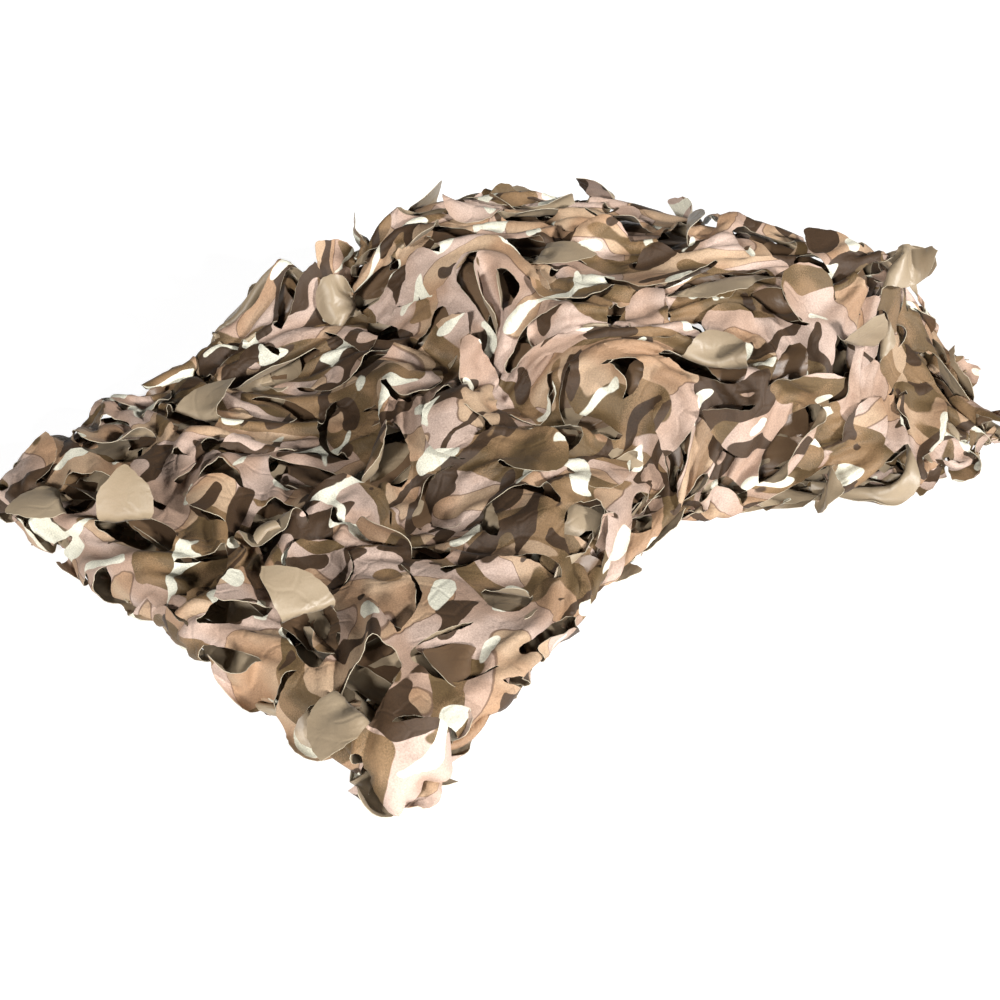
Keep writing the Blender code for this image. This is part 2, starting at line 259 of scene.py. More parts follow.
def swollen(grid):
    """The map's points with the swells of the loose cloth."""
    x, w = grid[..., 0] + CENTRE[0], 0.5 - (grid[..., 1] + CENTRE[1]) / FOLD_WIDTH
    high = np.clip(grid[..., 2] / 0.15, 0.0, 1.2)
    upper = ease(grid[..., 2] / 0.10)
    low = 1.0 - ease(grid[..., 2] / 0.05)
    result = grid.copy()
    for swell in SWELLS:
        near = near_spot(swell, x, w)
        result[..., 2] += near * high * swell.rise
        result[..., 1] -= near * (upper * swell.out_high + low * swell.out_low)
    return result


class ClothMap:
    """The packet's surface by distance along the fold path (s) and from its middle (c)."""

    def __init__(self, legs, half_width):
        stations = [(leg, mix(start, stop, i / LEG_STATIONS))
                    for leg, start, stop in legs for i in range(LEG_STATIONS + 1)]
        run = arc_length(np.array([place(leg, q, np.array([0.5]))[0] for leg, q in stations]))
        self.length = run[-1]
        self.rows = int(self.length / MAP_STEP) + 1
        self.columns = 2 * int(half_width / MAP_STEP) + 1
        self.half = MAP_STEP * (self.columns // 2)
        targets = np.linspace(-self.half, self.half, self.columns)
        fine = np.linspace(0.0, 1.0, ROW_POINTS)
        rows = []
        for goal in np.linspace(0.0, self.length, self.rows):
            k = min(int(np.searchsorted(run, goal, side="right")) - 1, len(run) - 2)
            part = min((goal - run[k]) / max(run[k + 1] - run[k], 1e-9), 1.0)
            curve = mix(place(*stations[k], fine), place(*stations[k + 1], fine), part)
            rows.append(self.even_row(curve, fine, targets))
        grid = np.array(rows)
        for _ in range(MAP_SMOOTHINGS):
            grid[1:-1] = 0.5 * grid[1:-1] + 0.25 * (grid[:-2] + grid[2:])
            grid[:, 1:-1] = 0.5 * grid[:, 1:-1] + 0.25 * (grid[:, :-2] + grid[:, 2:])
        self.grid = swollen(grid)
        self.normal = unit(np.cross(np.gradient(self.grid, axis=1),
                                    np.gradient(self.grid, axis=0)))

    @staticmethod
    def even_row(curve, fine, targets):
        """Points at even distances across the packet, those past its edges tucked under."""
        arc = arc_length(curve)
        arc -= np.interp(0.5, fine, arc)
        row = np.stack([np.interp(targets, arc, curve[:, axis]) for axis in range(3)], axis=1)
        for side, end in ((-1, 0), (1, -1)):
            past = targets * side - arc[end] * side
            beyond = past > 0.0
            inward = (curve[len(curve) // 2] - curve[end]) * (1.0, 1.0, 0.0)
            row[beyond] = curve[end] + past[beyond][:, None] * unit(inward)
            row[beyond, 2] = mix(curve[end][2], min(TUCK_HEIGHT, curve[end][2]),
                                 ease(past[beyond] / TUCK_RUN))
        return row

    def at(self, s, c):
        """Points and outward normals at arrays of s and c."""
        row = np.clip(s / self.length, 0.0, 1.0) * (self.rows - 1)
        column = np.clip((c + self.half) / (2.0 * self.half), 0.0, 1.0) * (self.columns - 1)
        r = np.minimum(row.astype(int), self.rows - 2)
        k = np.minimum(column.astype(int), self.columns - 2)
        a, b = (row - r)[:, None], (column - k)[:, None]
        point, normal = (
            (1 - a) * ((1 - b) * field[r, k] + b * field[r, k + 1])
            + a * ((1 - b) * field[r + 1, k] + b * field[r + 1, k + 1])
            for field in (self.grid, self.normal))
        return point, unit(normal)


# ---- the cut pattern ------------------------------------------------------------------
PITCH = 0.082            # one square of the pattern
DRAWN_PITCH = 0.076      # the square that the leaf sizes below are given for
TEMPLATES = 40
LEAF_SHRINK = 0.93       # the holes stand a little open round their leaves
SQUARE_MARGIN = 0.0022   # cuts stay this far inside their square
SLIT_POINTS = 90
SLIT_STEP = 0.78         # length of a step along a slit, along its hinge and
HINGE_STEP = 0.9         # between rows of points, in steps of the square's side
POINT_SHAKE = 0.12
POINT_CLEAR = 0.62


def between(rng, low, high):
    """An angle drawn between two, given in degrees."""
    return math.radians(rng.uniform(low, high))


def disc(rng):
    radius = rng.uniform(0.0280, 0.0318)
    mouth = between(rng, 38.0, 60.0)
    angle = np.linspace(math.pi - mouth, mouth - math.pi, SLIT_POINTS)
    return [radius * np.stack([np.cos(angle), np.sin(angle)], axis=1)]


def moon(rng):
    chord, tall = rng.uniform(0.031, 0.034), rng.uniform(0.036, 0.046)
    t = np.linspace(0.0, math.pi, SLIT_POINTS)
    return [np.stack([tall * (np.sin(t) ** 0.85 - 0.42), chord * np.cos(t)], axis=1)]


def pointed_leaf(rng):
    radius = rng.uniform(0.027, 0.030)
    mouth = between(rng, 42.0, 62.0)
    t = np.linspace(mouth, 2.0 * math.pi - mouth, SLIT_POINTS)
    points = np.stack([-np.cos(t) * 1.06, np.sin(t) * 0.92], axis=1) * radius
    points[:, 0] += 0.0085 * np.exp(-((t - math.pi) / 0.36) ** 2) - 0.003
    return [points]


def long_moon(rng):
    """A long half-moon from corner to corner, and a small one behind it."""
    chord, tall = rng.uniform(0.041, 0.044), rng.uniform(0.027, 0.032)
    t = np.linspace(0.0, math.pi, SLIT_POINTS)
    small = rng.uniform(0.016, 0.019)
    return [np.stack([0.002 + tall * np.sin(t) ** 0.8, chord * np.cos(t)], axis=1),
            np.stack([-0.009 - 1.25 * small * np.sin(t), small * np.cos(t)], axis=1)]


def fin(rng):
    """A convex side and a hollow side that meet in a sharp tip."""
    tip = np.array([rng.uniform(0.030, 0.036), rng.uniform(0.016, 0.026)])
    convex, hollow = rng.uniform(0.30, 0.42), rng.uniform(-0.26, -0.12)
    sides = []
    for a, b, bulge in ((np.array([-0.024, -0.027]), tip, convex),
                        (tip, np.array([-0.022, 0.022]), -0.4 * hollow)):
        u = np.linspace(0.0, 1.0, 60)[:, None]
        square = np.array([(b - a)[1], -(b - a)[0]])
        sides.append(a + (b - a) * u + square * bulge * 2.0 * u * (1.0 - u))
    points = np.concatenate([sides[0], sides[1][1:]])
    return [points * np.array([1.0, -1.0]) if rng.random() < 0.5 else points]


LEAF_KINDS = {disc: 0.26, moon: 0.15, pointed_leaf: 0.15, long_moon: 0.18, fin: 0.26}


def leaf_outlines(rng, step):
    """The cuts of one square, each as points from hinge end to hinge end."""
    kinds, shares = list(LEAF_KINDS), list(LEAF_KINDS.values())
    kind = kinds[rng.choice(len(kinds), p=shares)]
    made = [points * (PITCH / DRAWN_PITCH) for points in kind(rng)]
    angle = rng.uniform(0.0, 2.0 * math.pi)
    if kind is long_moon:
        angle = math.pi / 4.0 + rng.integers(4) * math.pi / 2.0 + rng.uniform(-0.06, 0.06)
    c, s = math.cos(angle), math.sin(angle)
    drift = np.full(2, PITCH / 2.0) + rng.uniform(-0.0015, 0.0015, 2)
    result = []
    for points in made:
        points = points @ np.array([[c, s], [-s, c]])
        arc = arc_length(points)
        count = max(int(round(arc[-1] / step)), 8)
        even = np.linspace(0.0, arc[-1], count + 1)
        points = np.stack([np.interp(even, arc, points[:, k]) for k in (0, 1)], axis=1) + drift
        result.append(np.clip(points, SQUARE_MARGIN, PITCH - SQUARE_MARGIN))
    return result


def inside(points, polygon):
    """Which points lie inside a closed polygon."""
    x, y = points[:, 0], points[:, 1]
    hit = np.zeros(len(points), bool)
    for (x0, y0), (x1, y1) in zip(polygon, np.roll(polygon, -1, axis=0)):
        crosses = (y0 > y) != (y1 > y)
        hit ^= crosses & (x < (x1 - x0) * (y - y0) / (y1 - y0 + 1e-15) + x0)
    return hit


def twice_area(a, b, c):
    """Twice the signed area of flat triangles, from their corners."""
    return (b - a)[:, 0] * (c - a)[:, 1] - (b - a)[:, 1] * (c - a)[:, 0]


Leaf = namedtuple("Leaf", "middle across forward half reach area")
Template = namedtuple("Template", "points triangles owner border leaves")
Cut = namedtuple("Cut", "points triangles owner leaves")


def hinge_of(slit):
    """A leaf's hinge: its middle, its directions along and ahead, and the leaf's size."""
    tips = np.array([slit[0], slit[-1]])
    middle = tips.mean(axis=0)
    across = tips[1] - tips[0]
    half = norm(across) / 2.0
    across /= 2.0 * half
    forward = np.array([-across[1], across[0]])
    if np.dot(slit.mean(axis=0) - middle, forward) < 0.0:
        across, forward = -across, -forward
    x, y = slit[:, 0], slit[:, 1]
    area = 0.5 * abs((x * np.roll(y, -1) - y * np.roll(x, -1)).sum())
    return Leaf(middle, across, forward, half, ((slit - middle) @ forward).max(), area)


def inner_points(rng, fixed, side_steps):
    """Points between the cuts of a square, a little off their grid."""
    h = PITCH / side_steps
    rows = int(PITCH / (h * HINGE_STEP))
    found = []
    for j in range(1, rows):
        for i in range(side_steps + 1):
            point = np.array([(i + 0.5 * (j % 2)) * h, j * PITCH / rows])
            point = point + rng.uniform(-POINT_SHAKE, POINT_SHAKE, 2) * h
            if min(point) < 0.55 * h or max(point) > PITCH - 0.55 * h:
                continue
            if norm(fixed - point).min() > POINT_CLEAR * h:
                found.append(point)
    return np.array(found)


def make_template(rng, side_steps):
    """One square of the cut pattern, its leaves as separate points along their slits."""
    h = PITCH / side_steps
    ring = ([(i, 0) for i in range(side_steps)] + [(side_steps, i) for i in range(side_steps)]
            + [(side_steps - i, side_steps) for i in range(side_steps)]
            + [(0, side_steps - i) for i in range(side_steps)])
    slits = leaf_outlines(rng, h * SLIT_STEP)
    loops = []
    for slit in slits:
        count = max(int(round(norm(slit[0] - slit[-1]) / (h * HINGE_STEP))), 3)
        chord = np.array([mix(slit[-1], slit[0], i / count) for i in range(1, count)])
        loops.append(np.concatenate([slit, chord]))
    fixed = np.concatenate(loops)
    points = np.concatenate([np.array(ring, float) * h, fixed,
                             inner_points(rng, fixed, side_steps)])
    edges, begins, first = [], [], 0
    for length in (len(ring), *map(len, loops)):
        ids = list(range(first, first + length))
        edges += list(zip(ids, ids[1:] + ids[:1]))
        begins.append(first)
        first += length
    made = delaunay_2d_cdt([Vector(p) for p in points], edges, [], 0, 1e-7, True)
    out, triangles = np.array([tuple(v) for v in made[0]]), np.array(made[2])
    index = {source: number for number, sources in enumerate(made[3]) for source in sources}
    centres = out[triangles].mean(axis=1)
    owner = np.full(len(out), -1)
    leaves = []
    for number, (slit, loop, begin) in enumerate(zip(slits, loops, begins[1:])):
        # the leaf gets its own copies of the points along the slit
        in_leaf = inside(centres, loop)
        slit_inner = [index[begin + i] for i in range(1, len(slit) - 1)]
        copies = {v: len(out) + i for i, v in enumerate(slit_inner)}
        for row in np.nonzero(in_leaf)[0]:
            triangles[row] = [copies.get(v, v) for v in triangles[row]]
        out = np.concatenate([out, out[slit_inner]])
        owner = np.concatenate([owner, np.full(len(slit_inner), number)])
        owner[np.unique(triangles[in_leaf])] = number
        for i in [0, *range(len(slit) - 1, len(loop))]:
            owner[index[begin + i]] = -1
        leaf = hinge_of(slit)
        mine = np.nonzero(owner == number)[0]
        away = out[mine] - leaf.middle
        ahead, beside = away @ leaf.forward, away @ leaf.across
        shrink = mix(1.0, LEAF_SHRINK, ease(ahead / 0.012))
        out[mine] = (leaf.middle + np.outer(ahead * shrink, leaf.forward)
                     + np.outer(beside * shrink, leaf.across))
        leaves.append(leaf)
    flip = twice_area(*(out[triangles[:, k]] for k in range(3))) < 0.0
    triangles[flip] = triangles[flip][:, ::-1]
    return Template(out, triangles, owner, np.array([index[i] for i in range(len(ring))]), leaves)


def turn(vector, quarter):
    """Flat vectors turned by quarters."""
    for _ in range(quarter):
        vector = np.stack([-vector[..., 1], vector[..., 0]], axis=-1)
    return vector


def turn_in_square(point, quarter):
    """Points turned by quarters about the square's middle."""
    return turn(point - PITCH / 2.0, quarter) + PITCH / 2.0


def cut_sheet(templates, side_steps, columns, rows, seed):
    """A flat sheet of squares with their leaves, alternate rows shifted by half a square."""
    rng = np.random.default_rng(seed)
    points, triangles, owner, keys, border, leaves = [], [], [], [], [], []
    total = 0
    for j in range(rows):
        for i in range(columns):
            template = templates[rng.integers(len(templates))]
            quarter = int(rng.integers(4))
            corner = np.array([(i + 0.5 * (j % 2)) * PITCH, j * PITCH])
            placed = turn_in_square(template.points, quarter) + corner
            points.append(placed)
            triangles.append(template.triangles + total)
            owner.append(np.where(template.owner >= 0, template.owner + len(leaves), -1))
            border.append(template.border + total)
            keys.append(np.round(placed[template.border] * side_steps / PITCH).astype(int))
            leaves += [leaf._replace(middle=turn_in_square(leaf.middle, quarter) + corner,
                                     across=turn(leaf.across, quarter),
                                     forward=turn(leaf.forward, quarter))
                       for leaf in template.leaves]
            total += len(placed)
    points, triangles, owner = map(np.concatenate, (points, triangles, owner))
    keys, border = np.concatenate(keys), np.concatenate(border)
    # squares that touch share the points of their border
    _, first, inverse = np.unique(keys[:, 0] * 100000 + keys[:, 1],
                                  return_index=True, return_inverse=True)
    target = np.arange(total)
    target[border] = border[first][inverse.ravel()]
    used, triangles = np.unique(target[triangles], return_inverse=True)
    return Cut(points[used], triangles.reshape(-1, 3), owner[used], leaves)


# ---- the cloth in space ---------------------------------------------------------------
def waves(seed, count, shortest, longest, crisp=0.0):
    """A random field over the flat cloth, about -1 to 1, with creases where it is crisp."""
    rng = np.random.default_rng(seed)
    size = np.exp(rng.uniform(math.log(shortest), math.log(longest), count))
    angle = rng.uniform(0.0, 2.0 * math.pi, count)
    phase = rng.uniform(0.0, 2.0 * math.pi, count)
    weight = (size / longest) ** 0.7
    weight /= np.sqrt((weight ** 2).sum() / 2.0)

    def field(points):
        total = np.zeros(len(points))
        for s, a, p, w in zip(size, angle, phase, weight):
            way = points[:, 0] * math.cos(a) + points[:, 1] * math.sin(a)
            wave = np.sin(2.0 * math.pi / s * way + p)
            total += w * mix(wave, 2.0 / math.pi * np.arcsin(0.985 * wave), crisp)
        return total
    return field


# how a leaf lies: the range of its angles at the hinge and at its tip, how far the tip
# follows the packet's surface, and the range of its rank, from which leaf lies on which
Style = namedtuple("Style", "name start end follows rank spread")
STYLES = (
    Style("flush", start=(6, 34), end=(-52, -8), follows=1.0, rank=0.05, spread=0.7),
    Style("hanging", start=(-50, -18), end=(-30, 30), follows=0.8, rank=-0.5, spread=-0.8),
    Style("standing", start=(38, 85), end=(-10, 70), follows=0.5, rank=1.0, spread=1.0),
    Style("thrown_back", start=(115, 155), end=(150, 186), follows=0.0, rank=2.0, spread=1.0),
)
THROWN_BACK = 3
# shares of flush, hanging and standing leaves; the rest are thrown back
FRONT_SHARES = (0.38, 0.20, 0.27)
REAR_SHARES = (0.24, 0.17, 0.38)
CORNER_SHARES = (0.80, 0.06, 0.14)
WIDEST = 182.0           # no leaf's tip turns further than this
CREASED = 0.60           # share of the leaves with a crease
CREASE_SPREAD = 46.0
CREASE_MOST = 80.0
DRIFT = 0.010            # how far the pattern wanders over the packet
SMOOTHED = 0.85          # how flat the leaves are drawn low at the front and left

# a leaf's curve: how far from its hinge it has opened, turns to its end angle, can
# crease, and is free of the hinge
BEND_STEPS = 14
OPEN_RUN = 0.008
TURN_RUN = 0.010
CREASE_RUN = 0.012
LOOSE_RUN = 0.016

# deep hollows where the leaves hang inwards, and places that lie calm
Hollow = namedtuple("Hollow", "x w deep")
HOLLOWS = (
    Hollow(x=0.255, w=0.64, deep=True),
    Hollow(x=0.165, w=0.47, deep=True),
    Hollow(x=0.110, w=0.76, deep=True),
    Hollow(x=0.215, w=0.72, deep=True),
    Hollow(x=0.120, w=0.33, deep=False),
    Hollow(x=0.055, w=0.60, deep=False),
)
HOLLOW_RADIUS = 0.045
HOLLOW_HANGS = 0.62      # share of hanging leaves in a hollow
CALM_FLUSH = 0.70        # share of flush leaves in a calm place

# single leaves that the outline shows: the place of the hinge, which way the leaf lay in
# the sheet (along x, y, z), and its opening and end angles
Placed = namedtuple("Placed", "name x w z way start end")
PLACED = (
    Placed("disc_at_tube_end", 0.690, 0.930, 0.170, way=(0.1, 1.0, 0.1), start=160, end=178),
    Placed("moon_behind_shoulder", 0.485, 0.107, 0.129, way=(0.0, -0.54, 0.84), start=8, end=0),
    Placed("leaf_on_roll", 0.560, 0.640, 0.170, way=(0.5, 0.8, 0.0), start=150, end=185),
    Placed("leaf_low_on_roll", 0.470, 0.900, 0.060, way=(0.8, 0.0, 0.5), start=120, end=160),
)
PLACED_RANK = 3.2
LOWEST = 0.0025          # the cloth over the floor
WEB_LOWEST = 0.0030

Shape = namedtuple("Shape", "start end crease twist cup way at rank free")


class Cloth:
    """A cut sheet laid over the map; each leaf bends away from its hinge."""

    def __init__(self, sheet, cloth_map, kind, seed):
        self.sheet, self.map, self.gather = sheet, cloth_map, kind.gather
        self.offset, self.uneven = kind.offset, kind.uneven
        self.column_middle = sheet.points[:, 0].mean()
        self.field = waves(seed, 16, 0.075, 0.20, crisp=0.9)
        self.drift_x = waves(seed + 1, 8, 0.12, 0.35)
        self.drift_y = waves(seed + 2, 8, 0.12, 0.35)
        self.base, self.base_normal = self.lay(sheet.points, 0.0)
        self.web, _ = self.lay(sheet.points, 1.0)
        self.set_hinges(*map(np.array, zip(*sheet.leaves)))

    def set_hinges(self, middle, across, forward, half, reach, area):
        """Each leaf's hinge in space: its point and its directions along, ahead and out."""
        self.reach, self.area = reach, area
        self.point, _ = self.lay(middle, 1.0)
        a, normal_a = self.lay(middle - across * half[:, None], 1.0)
        b, normal_b = self.lay(middle + across * half[:, None], 1.0)
        c, normal_c = self.lay(middle + forward * 0.012, 1.0)
        self.axis = axis = unit(b - a)
        ahead = c - self.point
        self.ahead = ahead = unit(ahead - axis * dot(ahead, axis)[:, None])
        normal = np.cross(axis, ahead)
        self.normal = normal * np.sign(dot(normal, normal_a + normal_b + normal_c))[:, None]
        # the angle at which a leaf's tip would follow the packet's surface
        near, _ = self.lay(middle + forward * (0.80 * reach)[:, None], 0.0)
        far, _ = self.lay(middle + forward * (1.05 * reach)[:, None], 0.0)
        way = far - near
        self.follow = np.degrees(np.arctan2(dot(way, self.normal), dot(way, ahead)))
        # the leaves' points: along the hinge (s) and ahead of it (d)
        self.leaf_points = np.nonzero(self.sheet.owner >= 0)[0]
        self.own = own = self.sheet.owner[self.leaf_points]
        away = self.sheet.points[self.leaf_points] - middle[own]
        self.s, self.d = dot(away, across[own]), dot(away, forward[own])
        clipped = np.clip(self.s, -half[own], half[own])
        on_hinge, _ = self.lay(middle[own] + across[own] * clipped[:, None], 1.0)
        straight = self.point[own] + axis[own] * (clipped * self.gather)[:, None]
        self.hinge_error = on_hinge - straight

    def lay(self, points, uneven):
        """Where flat points come to lie, and the outward normals there."""
        s = points[:, 1] * self.gather + DRIFT * self.drift_y(points)
        c = (points[:, 0] - self.column_middle) * self.gather + DRIFT * self.drift_x(points)
        position, normal = self.map.at(s, c)
        lift = self.offset + uneven * self.uneven * self.field(points)
        position = position + normal * lift[:, None]
        position[:, 2] = np.maximum(position[:, 2], WEB_LOWEST)
        return position, normal

    def shares(self, x, y, z, rear):
        """Shares of flush, hanging and standing leaves, each added to those before it."""
        far = ease((x - 0.57) / 0.07) * (z > 0.10)
        flush, hanging, standing = (mix(a, b, rear) for a, b in zip(FRONT_SHARES, REAR_SHARES))
        flush, hanging = flush + 0.16 * far, flush + hanging + 0.20 * far
        standing = hanging + standing * (1.0 - 0.7 * far)
        for hollow in HOLLOWS:
            away = np.hypot(x - hollow.x, y - (0.5 - hollow.w) * FOLD_WIDTH)
            near = np.exp(-(away / HOLLOW_RADIUS) ** 2) * (z > 0.02)
            if hollow.deep:
                hanging = mix(hanging, flush + HOLLOW_HANGS, near)
            else:
                flush = mix(flush, CALM_FLUSH, near)
            hanging = np.maximum(hanging, flush)
            standing = np.maximum(standing, hanging)
        # the front corner lies almost closed
        corner = ease((0.10 - x) / 0.06) * ease((-y - 0.17) / 0.05)
        return [mix(share, closed, corner)
                for share, closed in zip((flush, hanging, standing), np.cumsum(CORNER_SHARES))]

    def draw(self, rng, singles):
        """Attitude of each leaf: opening, end angle, twist, cup and one crease."""
        count = len(self.point)
        x, y, z = (self.point + CENTRE).T
        rear = ease((x - 0.33) / 0.10)
        chance = rng.random(count)
        style = sum((chance >= share).astype(int) for share in self.shares(x, y, z, rear))
        start = np.choose(style, [rng.uniform(*kind.start, count) for kind in STYLES])
        end = np.choose(style, [rng.uniform(*kind.end, count) for kind in STYLES])
        follows = np.array([kind.follows for kind in STYLES])
        end = end + np.clip(self.follow, -110.0, 50.0) * follows[style]
        # a leaf whose hinge is below it falls open, one below its hinge hangs
        wall = 1.0 - np.clip(self.normal[:, 2], 0.0, 1.0)
        opens = 60.0 * wall * rear * np.clip(self.ahead[:, 2], 0.0, 1.0)
        hangs = wall * np.clip(-self.ahead[:, 2], 0.0, 1.0)
        start = start * (1.0 - 0.5 * hangs) + opens * 0.7
        end = end * (1.0 - 0.6 * hangs) + opens
        creased = rng.random(count) < CREASED
        bend = np.clip(rng.normal(0.0, CREASE_SPREAD, count), -CREASE_MOST, CREASE_MOST)
        crease = np.where(creased, bend, 0.0)
        # the front fold and the left side are drawn smooth towards the floor
        low = 1.0 - ease((z - 0.012) / 0.035)
        ragged = (self.point[:, 0] > 0.14) & (self.point[:, 1] < -0.20)
        smooth = low * np.where(ragged, 0.0, 0.9)
        smooth = np.where(style == THROWN_BACK, 0.8 * smooth, smooth)
        start = start * (1.0 - SMOOTHED * smooth)
        end = mix(end, self.follow, SMOOTHED * smooth)
        crease = crease * (1.0 - smooth)
        rank = np.choose(style, [kind.rank + kind.spread * rng.random(count) for kind in STYLES])
        free = np.zeros(count, bool)
        for single in singles:
            away = self.point + CENTRE - (single.x, (0.5 - single.w) * FOLD_WIDTH, single.z)
            turned_off = 1.0 - self.ahead @ unit(np.array(single.way))
            cost = norm(away) / 0.03 + 1.2 * turned_off - self.area / 0.0008
            leaf = int(np.argmin(cost))
            start[leaf], end[leaf], crease[leaf] = single.start, single.end, 0.0
            rank[leaf], free[leaf] = PLACED_RANK, True
        return Shape(start=start, end=np.minimum(end, WIDEST), crease=crease,
                     twist=rng.normal(0.0, 10.0, count), cup=rng.normal(0.0, 6.0, count),
                     way=rng.uniform(0.0, math.pi, count), at=rng.uniform(-0.006, 0.012, count),
                     rank=rank, free=free)

    def pose(self, shape):
        """Positions of all the cloth's points for the leaves' attitudes."""
        own = self.own
        s, d, reach = self.s, self.d, self.reach[own]
        # one straight crease across the leaf
        way, fold = shape.way[own], np.radians(shape.crease[own])
        mx, my = -np.sin(way), np.cos(way)
        past = s * mx + (d - 0.5 * reach) * my - shape.at[own]
        past = np.where(past > 0.0, past, 0.0) * ease(d / CREASE_RUN)
        s = s - mx * past * (1.0 - np.cos(fold))
        d = np.maximum(d - my * past * (1.0 - np.cos(fold)), 0.0)
        raised = past * np.sin(fold)
        start, end = np.radians(shape.start[own]), np.radians(shape.end[own])

        def angle(t):
            """The leaf's angle at a distance from its hinge."""
            u = np.clip(t / reach, 0.0, 1.0)
            return start * ease(t / OPEN_RUN + 0.25) * (1.0 - u) + end * u * ease(t / TURN_RUN)

        # the leaf's curve from hinge to tip, in short straight steps
        x, z = np.zeros(len(d)), np.zeros(len(d))
        for i in range(BEND_STEPS):
            here = angle(d * (i + 0.5) / BEND_STEPS)
            x += np.cos(here) * d / BEND_STEPS
            z += np.sin(here) * d / BEND_STEPS
        last = angle(d)
        loose = ease(d / LOOSE_RUN)
        outer = np.clip(d / reach, 0.0, 1.0)
        raised = raised + np.sin(np.radians(shape.twist[own])) * s * loose * outer
        raised = raised + shape.cup[own] * s * s * loose
        x -= raised * np.sin(last)
        z += raised * np.cos(last)
        sideways = s * mix(self.gather, 1.0, loose)
        moved = (self.point[own] + self.axis[own] * sideways[:, None]
                 + self.ahead[own] * x[:, None] + self.normal[own] * z[:, None]
                 + self.hinge_error * (1.0 - loose)[:, None])
        moved[:, 2] = np.maximum(moved[:, 2], LOWEST)
        result = self.web.copy()
        result[self.leaf_points] = moved
        return result


# ---- relaxing the cloth ---------------------------------------------------------------
WEIGHT = 2.0e-5          # how far the cloth falls in a round
TOUCH_REACH = 0.0045     # points nearer than this may touch,
TOUCH_APART = 0.0022     # are held this far apart
TOUCH_PUSH = 0.0010      # and move at most this far for it in a round
TOUCH_EVERY = 8          # rounds between searches for them
SAME_CLOTH = 0.0065      # points nearer than this in the flat cloth don't touch
CREASE_LEAST = 0.30      # a crease folds no tighter than this
STRUT_SHORTEST = 0.0105  # struts a little longer than the mesh bend in wide folds
STRUT_LONGEST = 0.0165
STRUTS_PER_POINT = 2.6
WEB_ANCHOR = 0.02        # how fast the web returns along the packet
LEAF_LOWER = 0.007       # leaves may hang this much deeper than the web
FREE_HIGH = 0.080        # and a placed leaf may stand this high
HOLD_WEB, HOLD_LEAF = 0.5, 0.3   # how firmly both are kept between those
GIVES = 0.10             # pull of a rod that gives, when it is too long
SMOOTHING = 0.28

# rods between points p and q; those that give act every second round, and hardly when
# they are too long
Rods = namedtuple("Rods", "p q length share stiff gives")
Touch = namedtuple("Touch", "p q way crowd")


def close_pairs(points, radius):
    """All pairs of points nearer than the radius."""
    cell = np.floor(points / radius).astype(np.int64)
    cell -= cell.min(axis=0) - 1
    key = (cell[:, 0] * 1024 + cell[:, 1]) * 1024 + cell[:, 2]
    order = np.argsort(key, kind="stable")
    cells, start, count = np.unique(key[order], return_index=True, return_counts=True)
    # each cell with itself and half of its neighbours
    steps = [(dx, dy, dz) for dx in (0, 1) for dy in (-1, 0, 1) for dz in (-1, 0, 1)
             if (dx, dy, dz) >= (0, 0, 0)]
    found = []
    for dx, dy, dz in steps:
        goal = key + (dx * 1024 + dy) * 1024 + dz
        at = np.minimum(np.searchsorted(cells, goal), len(cells) - 1)
        hit = np.nonzero(cells[at] == goal)[0]
        many = count[at[hit]]
        a = np.repeat(hit, many)
        within = np.arange(len(a)) - np.repeat(np.cumsum(many) - many, many)
        b = order[np.repeat(start[at[hit]], many) + within]
        if (dx, dy, dz) == (0, 0, 0):
            a, b = a[a < b], b[a < b]
        gap = points[a] - points[b]
        near = (gap * gap).sum(axis=1) < radius * radius
        found.append(np.stack([a[near], b[near]]))
    return np.concatenate(found, axis=1)


def mesh_edges(triangles, count):
    """The mesh's edges a-b, and which lie between two triangles, with the tips c and d."""
    sides = np.concatenate([triangles[:, [0, 1, 2]], triangles[:, [1, 2, 0]],
                            triangles[:, [2, 0, 1]]])
    low_end, high_end = sides[:, :2].min(axis=1), sides[:, :2].max(axis=1)
    code = low_end.astype(np.int64) * count + high_end
    order = np.argsort(code, kind="stable")
    opposite = sides[order, 2]
    _, first, many = np.unique(code[order], return_index=True, return_counts=True)
    inner = np.nonzero(many == 2)[0]
    return (low_end[order][first], high_end[order][first], inner,
            opposite[first[inner]], opposite[first[inner] + 1])


